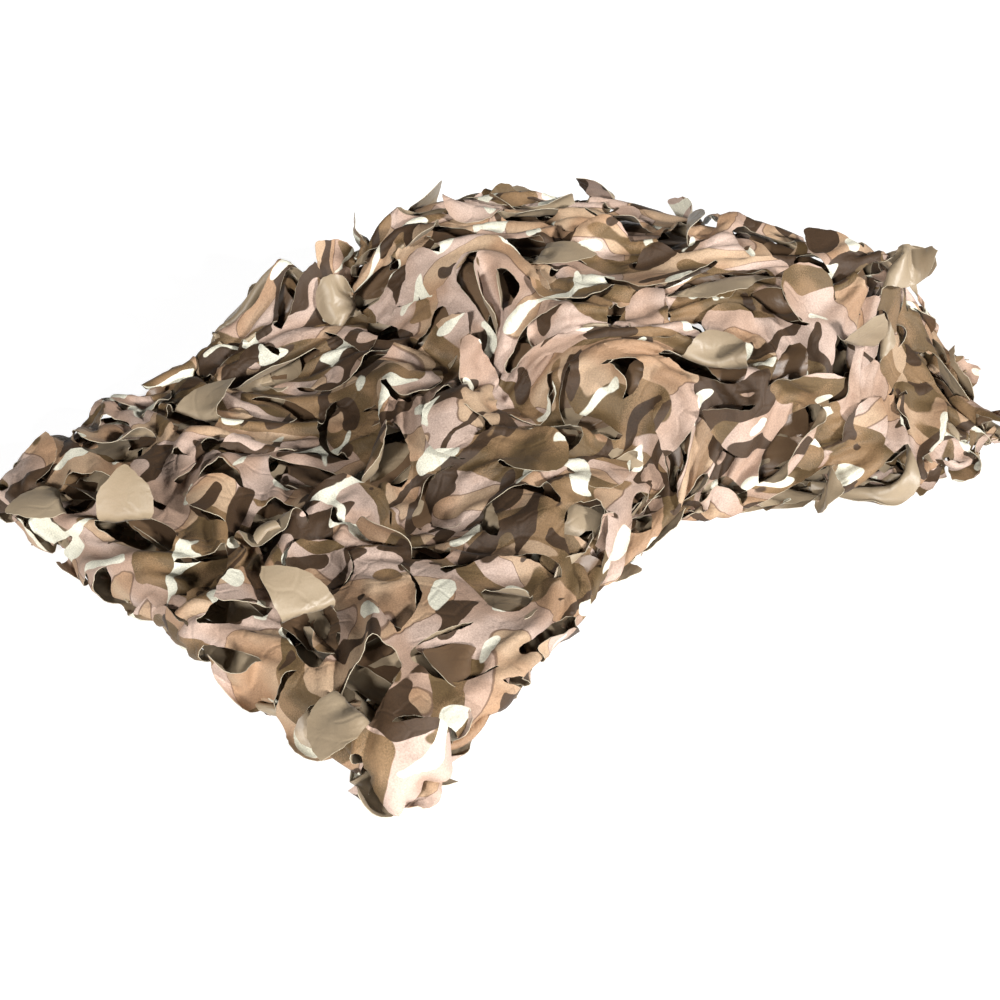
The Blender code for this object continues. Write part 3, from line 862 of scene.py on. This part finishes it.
def relax(cloth, points, shape, kind):
    """Let the cloth find its length again: it keeps its creases, lies on what is
    beneath it, and its leaves stay over or under each other by their rank."""
    flat, triangles, owner, _ = cloth.sheet
    count = len(points)
    web = owner < 0
    rank = np.where(web, 0.0, shape.rank[owner])

    def tally(p, q, move_p=None, move_q=None):
        return np.bincount(p, move_p, count), np.bincount(q, move_q, count)

    def rods(p, q, length, stiff, gives=False):
        share = 1.0 / np.maximum(sum(tally(p, q)), 1)
        return Rods(p, q, length, share, stiff, gives)

    a, b, inner, c, d = mesh_edges(triangles, count)

    def height_over(tip):
        """Distance of the tips from the edges they share."""
        along = unit(points[b[inner]] - points[a[inner]])
        away = points[tip] - points[a[inner]]
        return norm(away - along * dot(away, along)[:, None])

    folded = norm(points[c] - points[d]) / (height_over(c) + height_over(d) + 1e-9)
    bend = norm(flat[c] - flat[d]) * np.clip(folded, CREASE_LEAST, 1.0)
    e, f = close_pairs(np.concatenate([flat, owner[:, None] * 0.1], axis=1), STRUT_LONGEST)
    span = norm(flat[e] - flat[f])
    chosen = np.nonzero(span > STRUT_SHORTEST)[0]
    chosen = np.random.default_rng(3).permutation(chosen)[:int(STRUTS_PER_POINT * count)]
    e, f, span = e[chosen], f[chosen], span[chosen]
    posed = norm(points[e] - points[f]) / span
    strut = span * np.where(owner[e] >= 0, np.clip(posed, 0.2, 0.98),
                            np.clip(posed + 0.05, 0.85, 0.965))
    edges = rods(a, b, norm(flat[a] - flat[b]), 1.5)
    all_rods = (edges, rods(c, d, bend, 0.8, gives=True), rods(e, f, strut, 1.0, gives=True))

    at, home, outward = (np.ascontiguousarray(field.T)
                         for field in (points, cloth.web, cloth.base_normal))
    anchor = np.where(web, WEB_ANCHOR, 0.0)
    hold = np.where(web, HOLD_WEB, HOLD_LEAF)
    level = dot(cloth.base, cloth.base_normal)
    floor_near = ease((cloth.base[:, 2] - 0.010) / 0.05)
    least = np.where(web, kind.low, kind.low - LEAF_LOWER)
    most = np.where(web, kind.high, mix(min(0.012, kind.leaf_high), kind.leaf_high, floor_near))
    most[~web & shape.free[owner]] = FREE_HIGH

    def touching():
        """Pairs of points of different leaves that lie close, and which way to part them."""
        p, q = close_pairs(at.T.copy(), TOUCH_REACH)
        keep = (owner[p] != owner[q]) & (norm(flat[p] - flat[q]) > SAME_CLOTH)
        p, q = p[keep], q[keep]
        way = outward[:, p] + outward[:, q]
        way *= np.sign(rank[p] - rank[q]) / (np.sqrt((way * way).sum(axis=0)) + 1e-9)
        return Touch(p, q, way, np.maximum(sum(tally(p, q)), 1))

    for number in range(kind.rounds):
        at[2] -= WEIGHT
        for p, q, length, share, stiff, gives in all_rods:
            if gives and number % 2:
                continue
            away = at[:, p] - at[:, q]
            now = np.sqrt((away * away).sum(axis=0)) + 1e-9
            pull = stiff * 0.5 * (now - length) / now
            if gives:
                pull = np.where(now < length, pull, GIVES * pull)
            for row, move in zip(at, away * pull):
                to_p, to_q = tally(p, q, move, move)
                row += share * (to_q - to_p)
        # stay near home along the cloth, and between the layers beneath and the air
        gone = home - at
        at += anchor * (gone - (gone * outward).sum(axis=0) * outward)
        over = (at * outward).sum(axis=0) - level
        at += (np.clip(over, least, most) - over) * hold * outward
        np.maximum(at[2], LOWEST, out=at[2])
        # leaves and web keep their order
        if number % TOUCH_EVERY == 0:
            touch = touching()
        p, q, way, crowd = touch
        gap = ((at[:, p] - at[:, q]) * way).sum(axis=0)
        push = 0.5 * np.clip(TOUCH_APART - gap, 0.0, TOUCH_PUSH)
        for row, move in zip(at, push * way):
            to_p, to_q = tally(p, q, move, move)
            row += (to_p - to_q) / crowd
    for _ in range(2):
        for row in at:
            to_a, to_b = tally(a, b, row[b], row[a])
            row += SMOOTHING * ((to_a + to_b) * edges.share - row)
    return at.T.copy()


# ---- meshes ---------------------------------------------------------------------------
CLOTH_THICKNESS = 0.0005


def vertex_normals(points, triangles):
    a, b, c = (points[triangles[:, k]] for k in range(3))
    face = np.cross(b - a, c - a)
    normal = np.zeros_like(points)
    for k in range(3):
        for axis in range(3):
            normal[:, axis] += np.bincount(triangles[:, k], face[:, axis], len(points))
    return unit(normal)


def thick_mesh(name, points, flat, triangles, materials):
    """A thin closed sheet: printed front, plain back and cut edges."""
    used, triangles = np.unique(triangles, return_inverse=True)
    points, flat, triangles = points[used], flat[used], triangles.reshape(-1, 3)
    count = len(points)
    lift = vertex_normals(points, triangles) * CLOTH_THICKNESS / 2.0
    vertices = np.concatenate([points + lift, points - lift])
    # an edge with a triangle on one side only is a border, closed by two more triangles
    edges = np.concatenate([triangles[:, [0, 1]], triangles[:, [1, 2]], triangles[:, [2, 0]]])
    border = edges[~np.isin(edges @ [count, 1], edges @ [1, count])]
    a, b = border.T
    rim = np.concatenate([np.stack([b, a, a + count], axis=1),
                          np.stack([b, a + count, b + count], axis=1)])
    faces = np.concatenate([triangles, triangles[:, ::-1] + count, rim])
    kind = np.repeat([0, 1, 2], [len(triangles), len(triangles), len(rim)])

    mesh = bpy.data.meshes.new(name)
    mesh.vertices.add(len(vertices))
    mesh.vertices.foreach_set("co", vertices.astype(np.float32).ravel())
    mesh.loops.add(3 * len(faces))
    mesh.loops.foreach_set("vertex_index", faces.astype(np.int32).ravel())
    mesh.polygons.add(len(faces))
    mesh.polygons.foreach_set("loop_start", np.arange(0, 3 * len(faces), 3, dtype=np.int32))
    mesh.polygons.foreach_set("loop_total", np.full(len(faces), 3, np.int32))
    mesh.polygons.foreach_set("material_index", kind.astype(np.int32))
    mesh.polygons.foreach_set("use_smooth", np.ones(len(faces), bool))
    uv = np.concatenate([flat, flat])[faces.ravel()]
    mesh.uv_layers.new(name="flat").data.foreach_set("uv", uv.astype(np.float32).ravel())
    mesh.update(calc_edges=True)
    mesh.validate()
    # the cut edges stay crisp
    ends = np.zeros(2 * len(mesh.edges), np.int32)
    mesh.edges.foreach_get("vertices", ends)
    ends = np.sort(ends.reshape(-1, 2), axis=1).astype(np.int64)
    wide = 2 * count + 1
    low, high = np.sort(border, axis=1).T
    crisp = np.concatenate([low * wide + high, (low + count) * wide + high + count])
    sharp = (mesh.attributes.get("sharp_edge")
             or mesh.attributes.new("sharp_edge", "BOOLEAN", "EDGE"))
    sharp.data.foreach_set("value", np.isin(ends @ [wide, 1], crisp))
    for material in materials:
        mesh.materials.append(material)
    piece = bpy.data.objects.new(name, mesh)
    bpy.context.scene.collection.objects.link(piece)
    return piece


# ---- materials ------------------------------------------------------------------------
class Nodes:
    """Short calls for a material's nodes."""

    def __init__(self, name):
        self.material = bpy.data.materials.new(name)
        self.material.use_nodes = True
        self.tree = self.material.node_tree
        self.shader = self.tree.nodes["Principled BSDF"]

    def add(self, kind, inputs, **settings):
        node = self.tree.nodes.new(kind)
        for key, value in settings.items():
            setattr(node, key, value)
        for key, value in inputs.items():
            self.link(value, node.inputs[key])
        return node

    def link(self, value, socket):
        if isinstance(value, bpy.types.NodeSocket):
            self.tree.links.new(value, socket)
        else:
            socket.default_value = value

    def flat_map(self):
        """The place on the flat cloth, in metres."""
        return self.add("ShaderNodeUVMap", {}, uv_map="flat").outputs[0]

    def math(self, operation, a, b=0.0):
        return self.add("ShaderNodeMath", {0: a, 1: b}, operation=operation).outputs[0]

    def total(self, first, *more):
        for value in more:
            first = self.math("ADD", first, value)
        return first

    def times(self, a, b):
        return self.math("MULTIPLY", a, b)

    def vector(self, operation, a, b):
        return self.add("ShaderNodeVectorMath", {0: a, 1: b}, operation=operation).outputs

    def noise(self, place, scale, output="Fac", **inputs):
        return self.add("ShaderNodeTexNoise", {"Vector": place, "Scale": scale, **inputs},
                        noise_dimensions="2D").outputs[output]

    def around(self, value, swing):
        """A noise's swing about its middle."""
        return self.times(self.math("SUBTRACT", value, 0.5), swing)

    def smooth(self, value, low, high):
        """0 at low, 1 at high, and smooth between."""
        node = self.add("ShaderNodeMapRange", {"Value": value, "From Min": low, "From Max": high},
                        interpolation_type="SMOOTHSTEP")
        return node.outputs["Result"]

    def blend(self, factor, a, b, mode="MIX"):
        node = self.add("ShaderNodeMix", {0: factor, 6: a, 7: b}, data_type="RGBA",
                        blend_type=mode)
        return node.outputs[2]

    def shade(self, colour, level):
        """A colour times a grey level."""
        grey = self.add("ShaderNodeCombineColor", {0: level, 1: level, 2: level})
        return self.blend(1.0, colour, grey.outputs[0], "MULTIPLY")

    def bump(self, height, strength, distance, **inputs):
        return self.add("ShaderNodeBump", {"Height": height, "Strength": strength,
                                           "Distance": distance, **inputs}).outputs[0]

    def finish(self, values):
        """Link or set the shader's inputs."""
        for key, value in values.items():
            self.link(value, self.shader.inputs[key])
        return self.material


def rgb(r, g, b):
    """Linear colour from 8-bit sRGB numbers."""
    def line(v):
        v /= 255.0
        return v / 12.92 if v <= 0.04045 else ((v + 0.055) / 1.055) ** 2.4
    return (line(r), line(g), line(b), 1.0)


def fine_grain(n, uv):
    """The speckle of single threads, under a millimetre."""
    return n.noise(uv, 620.0, Detail=2.0, Roughness=0.8)


def cloth_relief(n, uv, crumpled, woven):
    """Flat facets between fine straight creases, a soft unevenness, and a plain weave
    with threads of about 0.45 mm."""
    bent = n.noise(uv, 18.0, output="Color", Detail=1.0)
    moved = n.vector("ADD", uv, n.vector("MULTIPLY", bent, (0.012, 0.012, 0.0))[0])[0]
    cells = n.add("ShaderNodeTexVoronoi", {"Vector": moved, "Scale": 34.0},
                  voronoi_dimensions="2D", feature="DISTANCE_TO_EDGE").outputs["Distance"]
    ridge = n.smooth(cells, 0.0, 0.10)
    patch = n.smooth(n.noise(uv, 14.0), 0.42, 0.58)
    soft = n.noise(uv, 60.0, Detail=3.0, Distortion=0.4)
    height = n.total(n.times(n.times(ridge, patch), 0.35), soft)
    threads = n.vector("MULTIPLY", uv, (2200.0 * math.pi, 2200.0 * math.pi, 0.0))[0]
    threads = n.add("ShaderNodeSeparateXYZ", {0: threads}).outputs
    weave = n.times(n.math("SINE", threads[0]), n.math("SINE", threads[1]))
    return n.bump(weave, woven, 0.00015, Normal=n.bump(height, crumpled, 0.0022))


# the print's shapes: a noise field with u and v shapes to the metre; where it is over
# the level a shape begins
Motif = namedtuple("Motif", "offset u v detail bend level")
TAN = Motif(offset=3.1, u=13.0, v=9.75, detail=0.5, bend=0.6, level=0.535)
GROUND = Motif(offset=33.0, u=17.0, v=17.0, detail=2.0, bend=0.3, level=0.500)
OLIVE = Motif(offset=7.7, u=9.6, v=13.8, detail=0.7, bend=0.9, level=0.572)
FADE = Motif(offset=1.3, u=26.0, v=26.0, detail=1.0, bend=0.2, level=0.550)
BARK = Motif(offset=12.9, u=27.5, v=16.5, detail=0.3, bend=0.9, level=0.650)
CREAM = Motif(offset=24.9, u=30.0, v=20.0, detail=0.0, bend=0.35, level=0.732)
PRINT_EDGE = 0.006

# painted shade and light: the print is drawn deeper in tone, with more olive and bark,
# over the middle of the low part where shade falls, and drawn lighter at the front corner,
# which faces the lamps, and in places on the roll: places on the flat cloth in metres
Spot = namedtuple("Spot", "u v size dark")
SHADE_AND_LIGHT_SPOTS = (
    Spot(0.73, 0.38, 0.19, dark=1.0),
    Spot(0.60, 0.48, 0.20, dark=1.0),
    Spot(0.38, 0.54, 0.20, dark=1.0),
    Spot(0.86, 0.17, 0.22, dark=-0.6),
    Spot(0.57, 0.77, 0.16, dark=-0.3),
    Spot(0.47, 0.30, 0.14, dark=-1.0),
    Spot(0.50, 0.92, 0.16, dark=-1.0),
)


def print_material():
    n = Nodes("printed_front")
    uv = n.flat_map()

    def field(motif):
        place = n.add("ShaderNodeMapping", {
            "Vector": uv, "Location": (motif.offset, 0.7 * motif.offset, motif.offset),
            "Scale": (motif.u, motif.v, 1.0)}).outputs[0]
        return n.noise(place, 1.0, Detail=motif.detail, Roughness=0.35, Distortion=motif.bend)

    def over(value, motif, soft=PRINT_EDGE):
        return n.smooth(value, motif.level - soft, motif.level + soft)

    # painted shade and light over the print's tone: above nought is painted shade, below nought
    # is painted light
    painted_shade_light = []
    for spot in SHADE_AND_LIGHT_SPOTS:
        away = n.vector("DISTANCE", uv, (spot.u, spot.v, 0.0))["Value"]
        painted_shade_light.append(n.times(n.smooth(away, spot.size, 0.0), spot.dark))
    part = n.add("ShaderNodeSeparateXYZ", {0: uv}).outputs
    roll = n.times(n.smooth(part[1], 0.58, 0.67), n.smooth(part[0], 0.84, 0.66))
    painted_shade_light = n.total(*painted_shade_light, n.times(roll, -0.38))
    # more olive and bark where the shade is painted
    more = n.times(painted_shade_light, 0.095)

    # ground: mauve with large tan shapes, a fine dark line round each
    ground = over(field(GROUND), GROUND, 0.14)
    mauve = n.blend(ground, rgb(190, 166, 151), rgb(172, 143, 123))
    tan = n.blend(ground, rgb(182, 154, 125), rgb(164, 130, 100))
    shapes = field(TAN)
    ring = n.math("ABSOLUTE", n.math("SUBTRACT", shapes, TAN.level))
    ring = n.times(n.smooth(ring, 0.009, 0.003), 0.75)
    colour = n.blend(ring, n.blend(over(shapes, TAN), mauve, tan), rgb(96, 70, 52))
    # olive shapes that fade to tan at one side, more of them where the shade is painted
    fade = n.total(field(FADE), n.around(n.noise(uv, 900.0, Detail=1.0), 0.35))
    olive = n.blend(n.times(over(fade, FADE, 0.11), 0.7), rgb(100, 79, 50), rgb(148, 117, 84))
    colour = n.blend(over(n.total(field(OLIVE), more), OLIVE), colour, olive)
    # bark: smaller deep brown shapes, more of them where the shade is painted; cream: small
    # rounded flecks and short strokes
    bark = n.total(field(BARK), n.times(more, 0.7))
    colour = n.blend(over(bark, BARK), colour, rgb(66, 47, 29))
    colour = n.blend(over(field(CREAM), CREAM), colour, rgb(228, 224, 204))
    # slight unevenness of print and wear, and the painted shade and light over the print's tone
    wear = n.add("ShaderNodeMapRange", {"Value": n.noise(uv, 60.0, Detail=3.0),
                                        "To Min": 0.74, "To Max": 0.92}).outputs["Result"]
    tone = n.total(wear, n.times(painted_shade_light, -0.14), n.around(fine_grain(n, uv), 0.70))
    return n.finish({"Base Color": n.shade(colour, tone), "Roughness": 0.62,
                     "Specular IOR Level": 0.34, "Sheen Weight": 0.03,
                     "Sheen Roughness": 0.5, "Normal": cloth_relief(n, uv, 0.55, 0.25)})


def back_material(name, light, dark):
    n = Nodes(name)
    uv = n.flat_map()
    colour = n.blend(n.noise(uv, 22.0, Detail=3.0), light, dark)
    speck = n.total(n.around(fine_grain(n, uv), 0.20), 1.0)
    return n.finish({"Base Color": n.shade(colour, speck), "Roughness": 0.42,
                     "Specular IOR Level": 0.45, "Sheen Weight": 0.05,
                     "Normal": cloth_relief(n, uv, 0.40, 0.15)})


def edge_material():
    n = Nodes("cut_edge")
    tone = n.noise(n.flat_map(), 400.0, Detail=2.0)
    return n.finish({"Base Color": n.blend(tone, rgb(196, 186, 164), rgb(150, 136, 112)),
                     "Roughness": 0.85})


FRONT, EDGE = print_material(), edge_material()
BACK = back_material("plain_back", rgb(155, 139, 116), rgb(134, 116, 92))
# painted shade: a darker, warmer copy of the plain back, for the side of the under sheet that
# shows in the gaps
BACK_PAINTED_SHADE = back_material("plain_back_painted_shade", rgb(104, 82, 60), rgb(84, 63, 44))

# ---- build ----------------------------------------------------------------------------
# legs: the stretches it runs through, each from and to a share of it; half: half its
# width; gather: how far it is drawn together; offset: where it lies over the packet;
# low, high, leaf_high: how far the web and its leaves may fall or rise from there
Sheet = namedtuple("Sheet", """name legs half gather side_steps offset uneven opening
                   rounds low high leaf_high seed turned placed""")
SHEETS = (
    # the cloth that shows: round the front fold, over the packet, down the far end
    Sheet(name="net_outer",
          legs=((FLOOR_LEG, 0.90, 1.0), (FRONT_TURN, 0.0, 1.0), (TOP_LEG, 0.0, 1.0),
                (FAR_TURN, 0.0, 1.0), (MIDDLE_LEG, 0.0, 0.12)),
          half=0.455, gather=0.87, side_steps=14, offset=0.0, uneven=0.0065, opening=1.0,
          rounds=300, low=-0.010, high=0.015, leaf_high=0.040, seed=5, turned=False,
          placed=PLACED),
    # gathered cloth close beneath it, which shows its plain back in a darker copy that is painted
    # shade
    Sheet(name="net_under",
          legs=((TOP_LEG, 0.02, 1.0), (FAR_TURN, 0.0, 0.7)),
          half=0.36, gather=1.06, side_steps=10, offset=-0.018, uneven=0.005, opening=0.7,
          rounds=140, low=-0.008, high=0.006, leaf_high=0.007, seed=105, turned=True,
          placed=()),
    # the middle layer and the fold inside the front one
    Sheet(name="net_middle",
          legs=((FAR_TURN, 0.85, 1.0), (MIDDLE_LEG, 0.0, 1.0), (INNER_TURN, 0.0, 1.0),
                (LOW_LEG, 0.0, 0.25)),
          half=0.36, gather=0.92, side_steps=8, offset=0.0, uneven=0.004, opening=0.6,
          rounds=120, low=-0.008, high=0.008, leaf_high=0.014, seed=205, turned=False,
          placed=()),
)


def leaf_cloth(kind):
    """A leaf-cut sheet, where its points come to lie, and its number of rows."""
    cloth_map = ClothMap(kind.legs, kind.half)
    columns = math.ceil(2.0 * cloth_map.half / kind.gather / PITCH)
    rows = math.ceil(cloth_map.length / kind.gather / PITCH)
    rng = np.random.default_rng(kind.seed)
    templates = [make_template(rng, kind.side_steps) for _ in range(TEMPLATES)]
    sheet = cut_sheet(templates, kind.side_steps, columns, rows, kind.seed + 1)
    cloth = Cloth(sheet, cloth_map, kind, kind.seed + 2)
    shape = cloth.draw(rng, kind.placed)
    shape = shape._replace(start=shape.start * kind.opening, end=shape.end * kind.opening)
    points = cloth.pose(shape)
    points = relax(cloth, points, shape, kind)
    return sheet, points, rows


PLAIN_COLUMNS = 81
PLAIN_CORNER = (3.0, 5.0)   # where the plain layers lie in the print, clear of the others
DRAWN_IN = 0.96             # they end a little inside the leaf-cut cloth
LOOSE_BORDER = 0.070
BORDER_WAVE = 0.012
BORDER_LIFT = 0.005


def plain_sheet(name, leg, start, rows, seed):
    """An uncut layer inside the packet, with a wavy border."""
    across = np.linspace(0.0, 1.0, PLAIN_COLUMNS)
    grid = np.array([place(leg, q, across) for q in np.linspace(start, 1.0, rows)])
    middle = (grid.max(axis=(0, 1)) + grid.min(axis=(0, 1))) / 2.0
    grid[..., :2] = mix(middle[:2], grid[..., :2], DRAWN_IN)
    run = arc_length(grid[:, PLAIN_COLUMNS // 2])[:, None]
    arc = arc_length(np.swapaxes(grid, 0, 1)).T
    flat = (np.stack([arc, run + 0.0 * arc], axis=-1) + PLAIN_CORNER).reshape(-1, 2)
    border = np.minimum(np.minimum(arc, arc[:, -1:] - arc), np.minimum(run, run[-1] - run))
    loose = 1.0 - ease(border / LOOSE_BORDER)
    wave_x, wave_y, lift = (loose * waves(seed + axis, 12, 0.03, 0.10)(flat).reshape(arc.shape)
                            for axis in range(3))
    grid += np.stack([BORDER_WAVE * wave_x, BORDER_WAVE * wave_y,
                      BORDER_LIFT * np.abs(lift)], axis=-1)
    number = np.arange(arc.size).reshape(arc.shape)
    a, b = number[:-1, :-1].ravel(), number[:-1, 1:].ravel()
    c, d = number[1:, 1:].ravel(), number[1:, :-1].ravel()
    triangles = np.concatenate([np.stack([a, b, c], axis=1), np.stack([a, c, d], axis=1)])
    return thick_mesh(name, grid.reshape(-1, 3), flat, triangles, (FRONT, BACK, EDGE))


def flat_cut(piece):
    """The piece's flat size and its area of cloth, from its flat map."""
    data = piece.data.uv_layers["flat"].data
    uv = np.zeros(2 * len(data))
    data.foreach_get("uv", uv)
    kind = np.zeros(len(piece.data.polygons), np.int32)
    piece.data.polygons.foreach_get("material_index", kind)
    corners = uv.reshape(-1, 3, 2)
    size = corners.max(axis=(0, 1)) - corners.min(axis=(0, 1))
    area = 0.5 * np.abs(twice_area(*np.moveaxis(corners[kind == 0], 1, 0))).sum()
    return (float(size[0]), float(size[1])), float(min(area, size[0] * size[1]))


pieces = []
for kind in SHEETS:
    sheet, points, rows = leaf_cloth(kind)
    # a turned sheet shows the darker copy of the back, painted shade, on its outer side
    materials = (BACK_PAINTED_SHADE, FRONT, EDGE) if kind.turned else (FRONT, BACK, EDGE)
    # in two halves, front and rear; in two halves, so that each stays under the limit
    # for one piece
    front = np.floor(sheet.points[sheet.triangles[:, 0], 1] / PITCH) < rows // 2
    for part, chosen in (("front", front), ("rear", ~front)):
        pieces.append(thick_mesh(kind.name + "_" + part, points, sheet.points,
                                 sheet.triangles[chosen], materials))
pieces.append(plain_sheet("net_floor_layer", FLOOR_LEG, 0.0, rows=81, seed=305))
pieces.append(plain_sheet("net_low_layer", LOW_LEG, 0.2, rows=73, seed=405))
for piece in pieces:
    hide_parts("net_cloth")
    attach(piece, "root")
    size, area = flat_cut(piece)

# ---- floor, light, camera -------------------------------------------------------------
FLOOR_HALF = 80
floor_mesh = bpy.data.meshes.new("floor")
floor_mesh.from_pydata([(x * FLOOR_HALF, y * FLOOR_HALF, 0)
                        for x, y in ((-1, -1), (1, -1), (1, 1), (-1, 1))], [], [(0, 1, 2, 3)])
floor = bpy.data.objects.new("floor", floor_mesh)
bpy.context.scene.collection.objects.link(floor)
floor.data.materials.append(Nodes("pale_floor").finish({
    "Base Color": (0.42, 0.42, 0.42, 1.0), "Emission Color": (1.0, 1.0, 1.0, 1.0),
    "Emission Strength": 0.80, "Roughness": 0.9}))

world = bpy.data.worlds.new("studio")
bpy.context.scene.world = world
world.use_nodes = True
world.node_tree.nodes["Background"].inputs["Color"].default_value = (1.0, 1.0, 1.0, 1.0)
world.node_tree.nodes["Background"].inputs["Strength"].default_value = 0.02

# the camera's layout has x to the right, y away and z up; there the front fold starts
# at this corner and runs this way
FOLD_CORNER = np.array([-0.456, 0.064])
FOLD_TURN = math.radians(-43.124)


def to_frame(point):
    """A point of the camera's layout, in the packet's frame."""
    along = np.array([math.cos(FOLD_TURN), math.sin(FOLD_TURN)])
    deep = np.array([-along[1], along[0]])
    away = np.array(point[:2]) - FOLD_CORNER
    return (Vector((away @ deep, 0.5 * FOLD_WIDTH - away @ along, point[2]))
            - Vector(CENTRE))


def aim(thing, source, target):
    """Put a light or the camera at its place, looking at the target."""
    thing.location = to_frame(source)
    way = to_frame(target) - thing.location
    thing.rotation_euler = way.to_track_quat("-Z", "Y").to_euler()
    bpy.context.scene.collection.objects.link(thing)


def add_light(name, kind, source, target, energy, **settings):
    data = bpy.data.lights.new(name, kind)
    data.energy = energy
    for key, value in settings.items():
        setattr(data, key, value)
    aim(bpy.data.objects.new(name, data), source, target)


MIDDLE_FLOOR = (0.0, 0.0, 0.0)
add_light("key", "SUN", (0.86, -0.51, 0.46), MIDDLE_FLOOR, 4.6, angle=math.radians(7.0))
add_light("front", "SUN", (-0.37, -0.93, 0.45), MIDDLE_FLOOR, 3.2, angle=math.radians(8.0))
add_light("near", "AREA", (0.25, -1.05, 0.40), (-0.02, -0.28, 0.03), 4.0,
          shape="DISK", size=0.35)
bpy.context.scene.view_settings.view_transform = "Standard"

CAMERA_TARGET = (0.0, 0.0, 0.05)
CAMERA_ELEVATION = math.radians(38.0)
CAMERA_DISTANCE = 1.3
camera_data = bpy.data.cameras.new("camera")
camera_data.sensor_width = 36.0
camera_data.lens = 54.0
camera = bpy.data.objects.new("camera", camera_data)
aim(camera, (0.0, -CAMERA_DISTANCE * math.cos(CAMERA_ELEVATION),
             CAMERA_TARGET[2] + CAMERA_DISTANCE * math.sin(CAMERA_ELEVATION)), CAMERA_TARGET)
bpy.context.scene.camera = camera
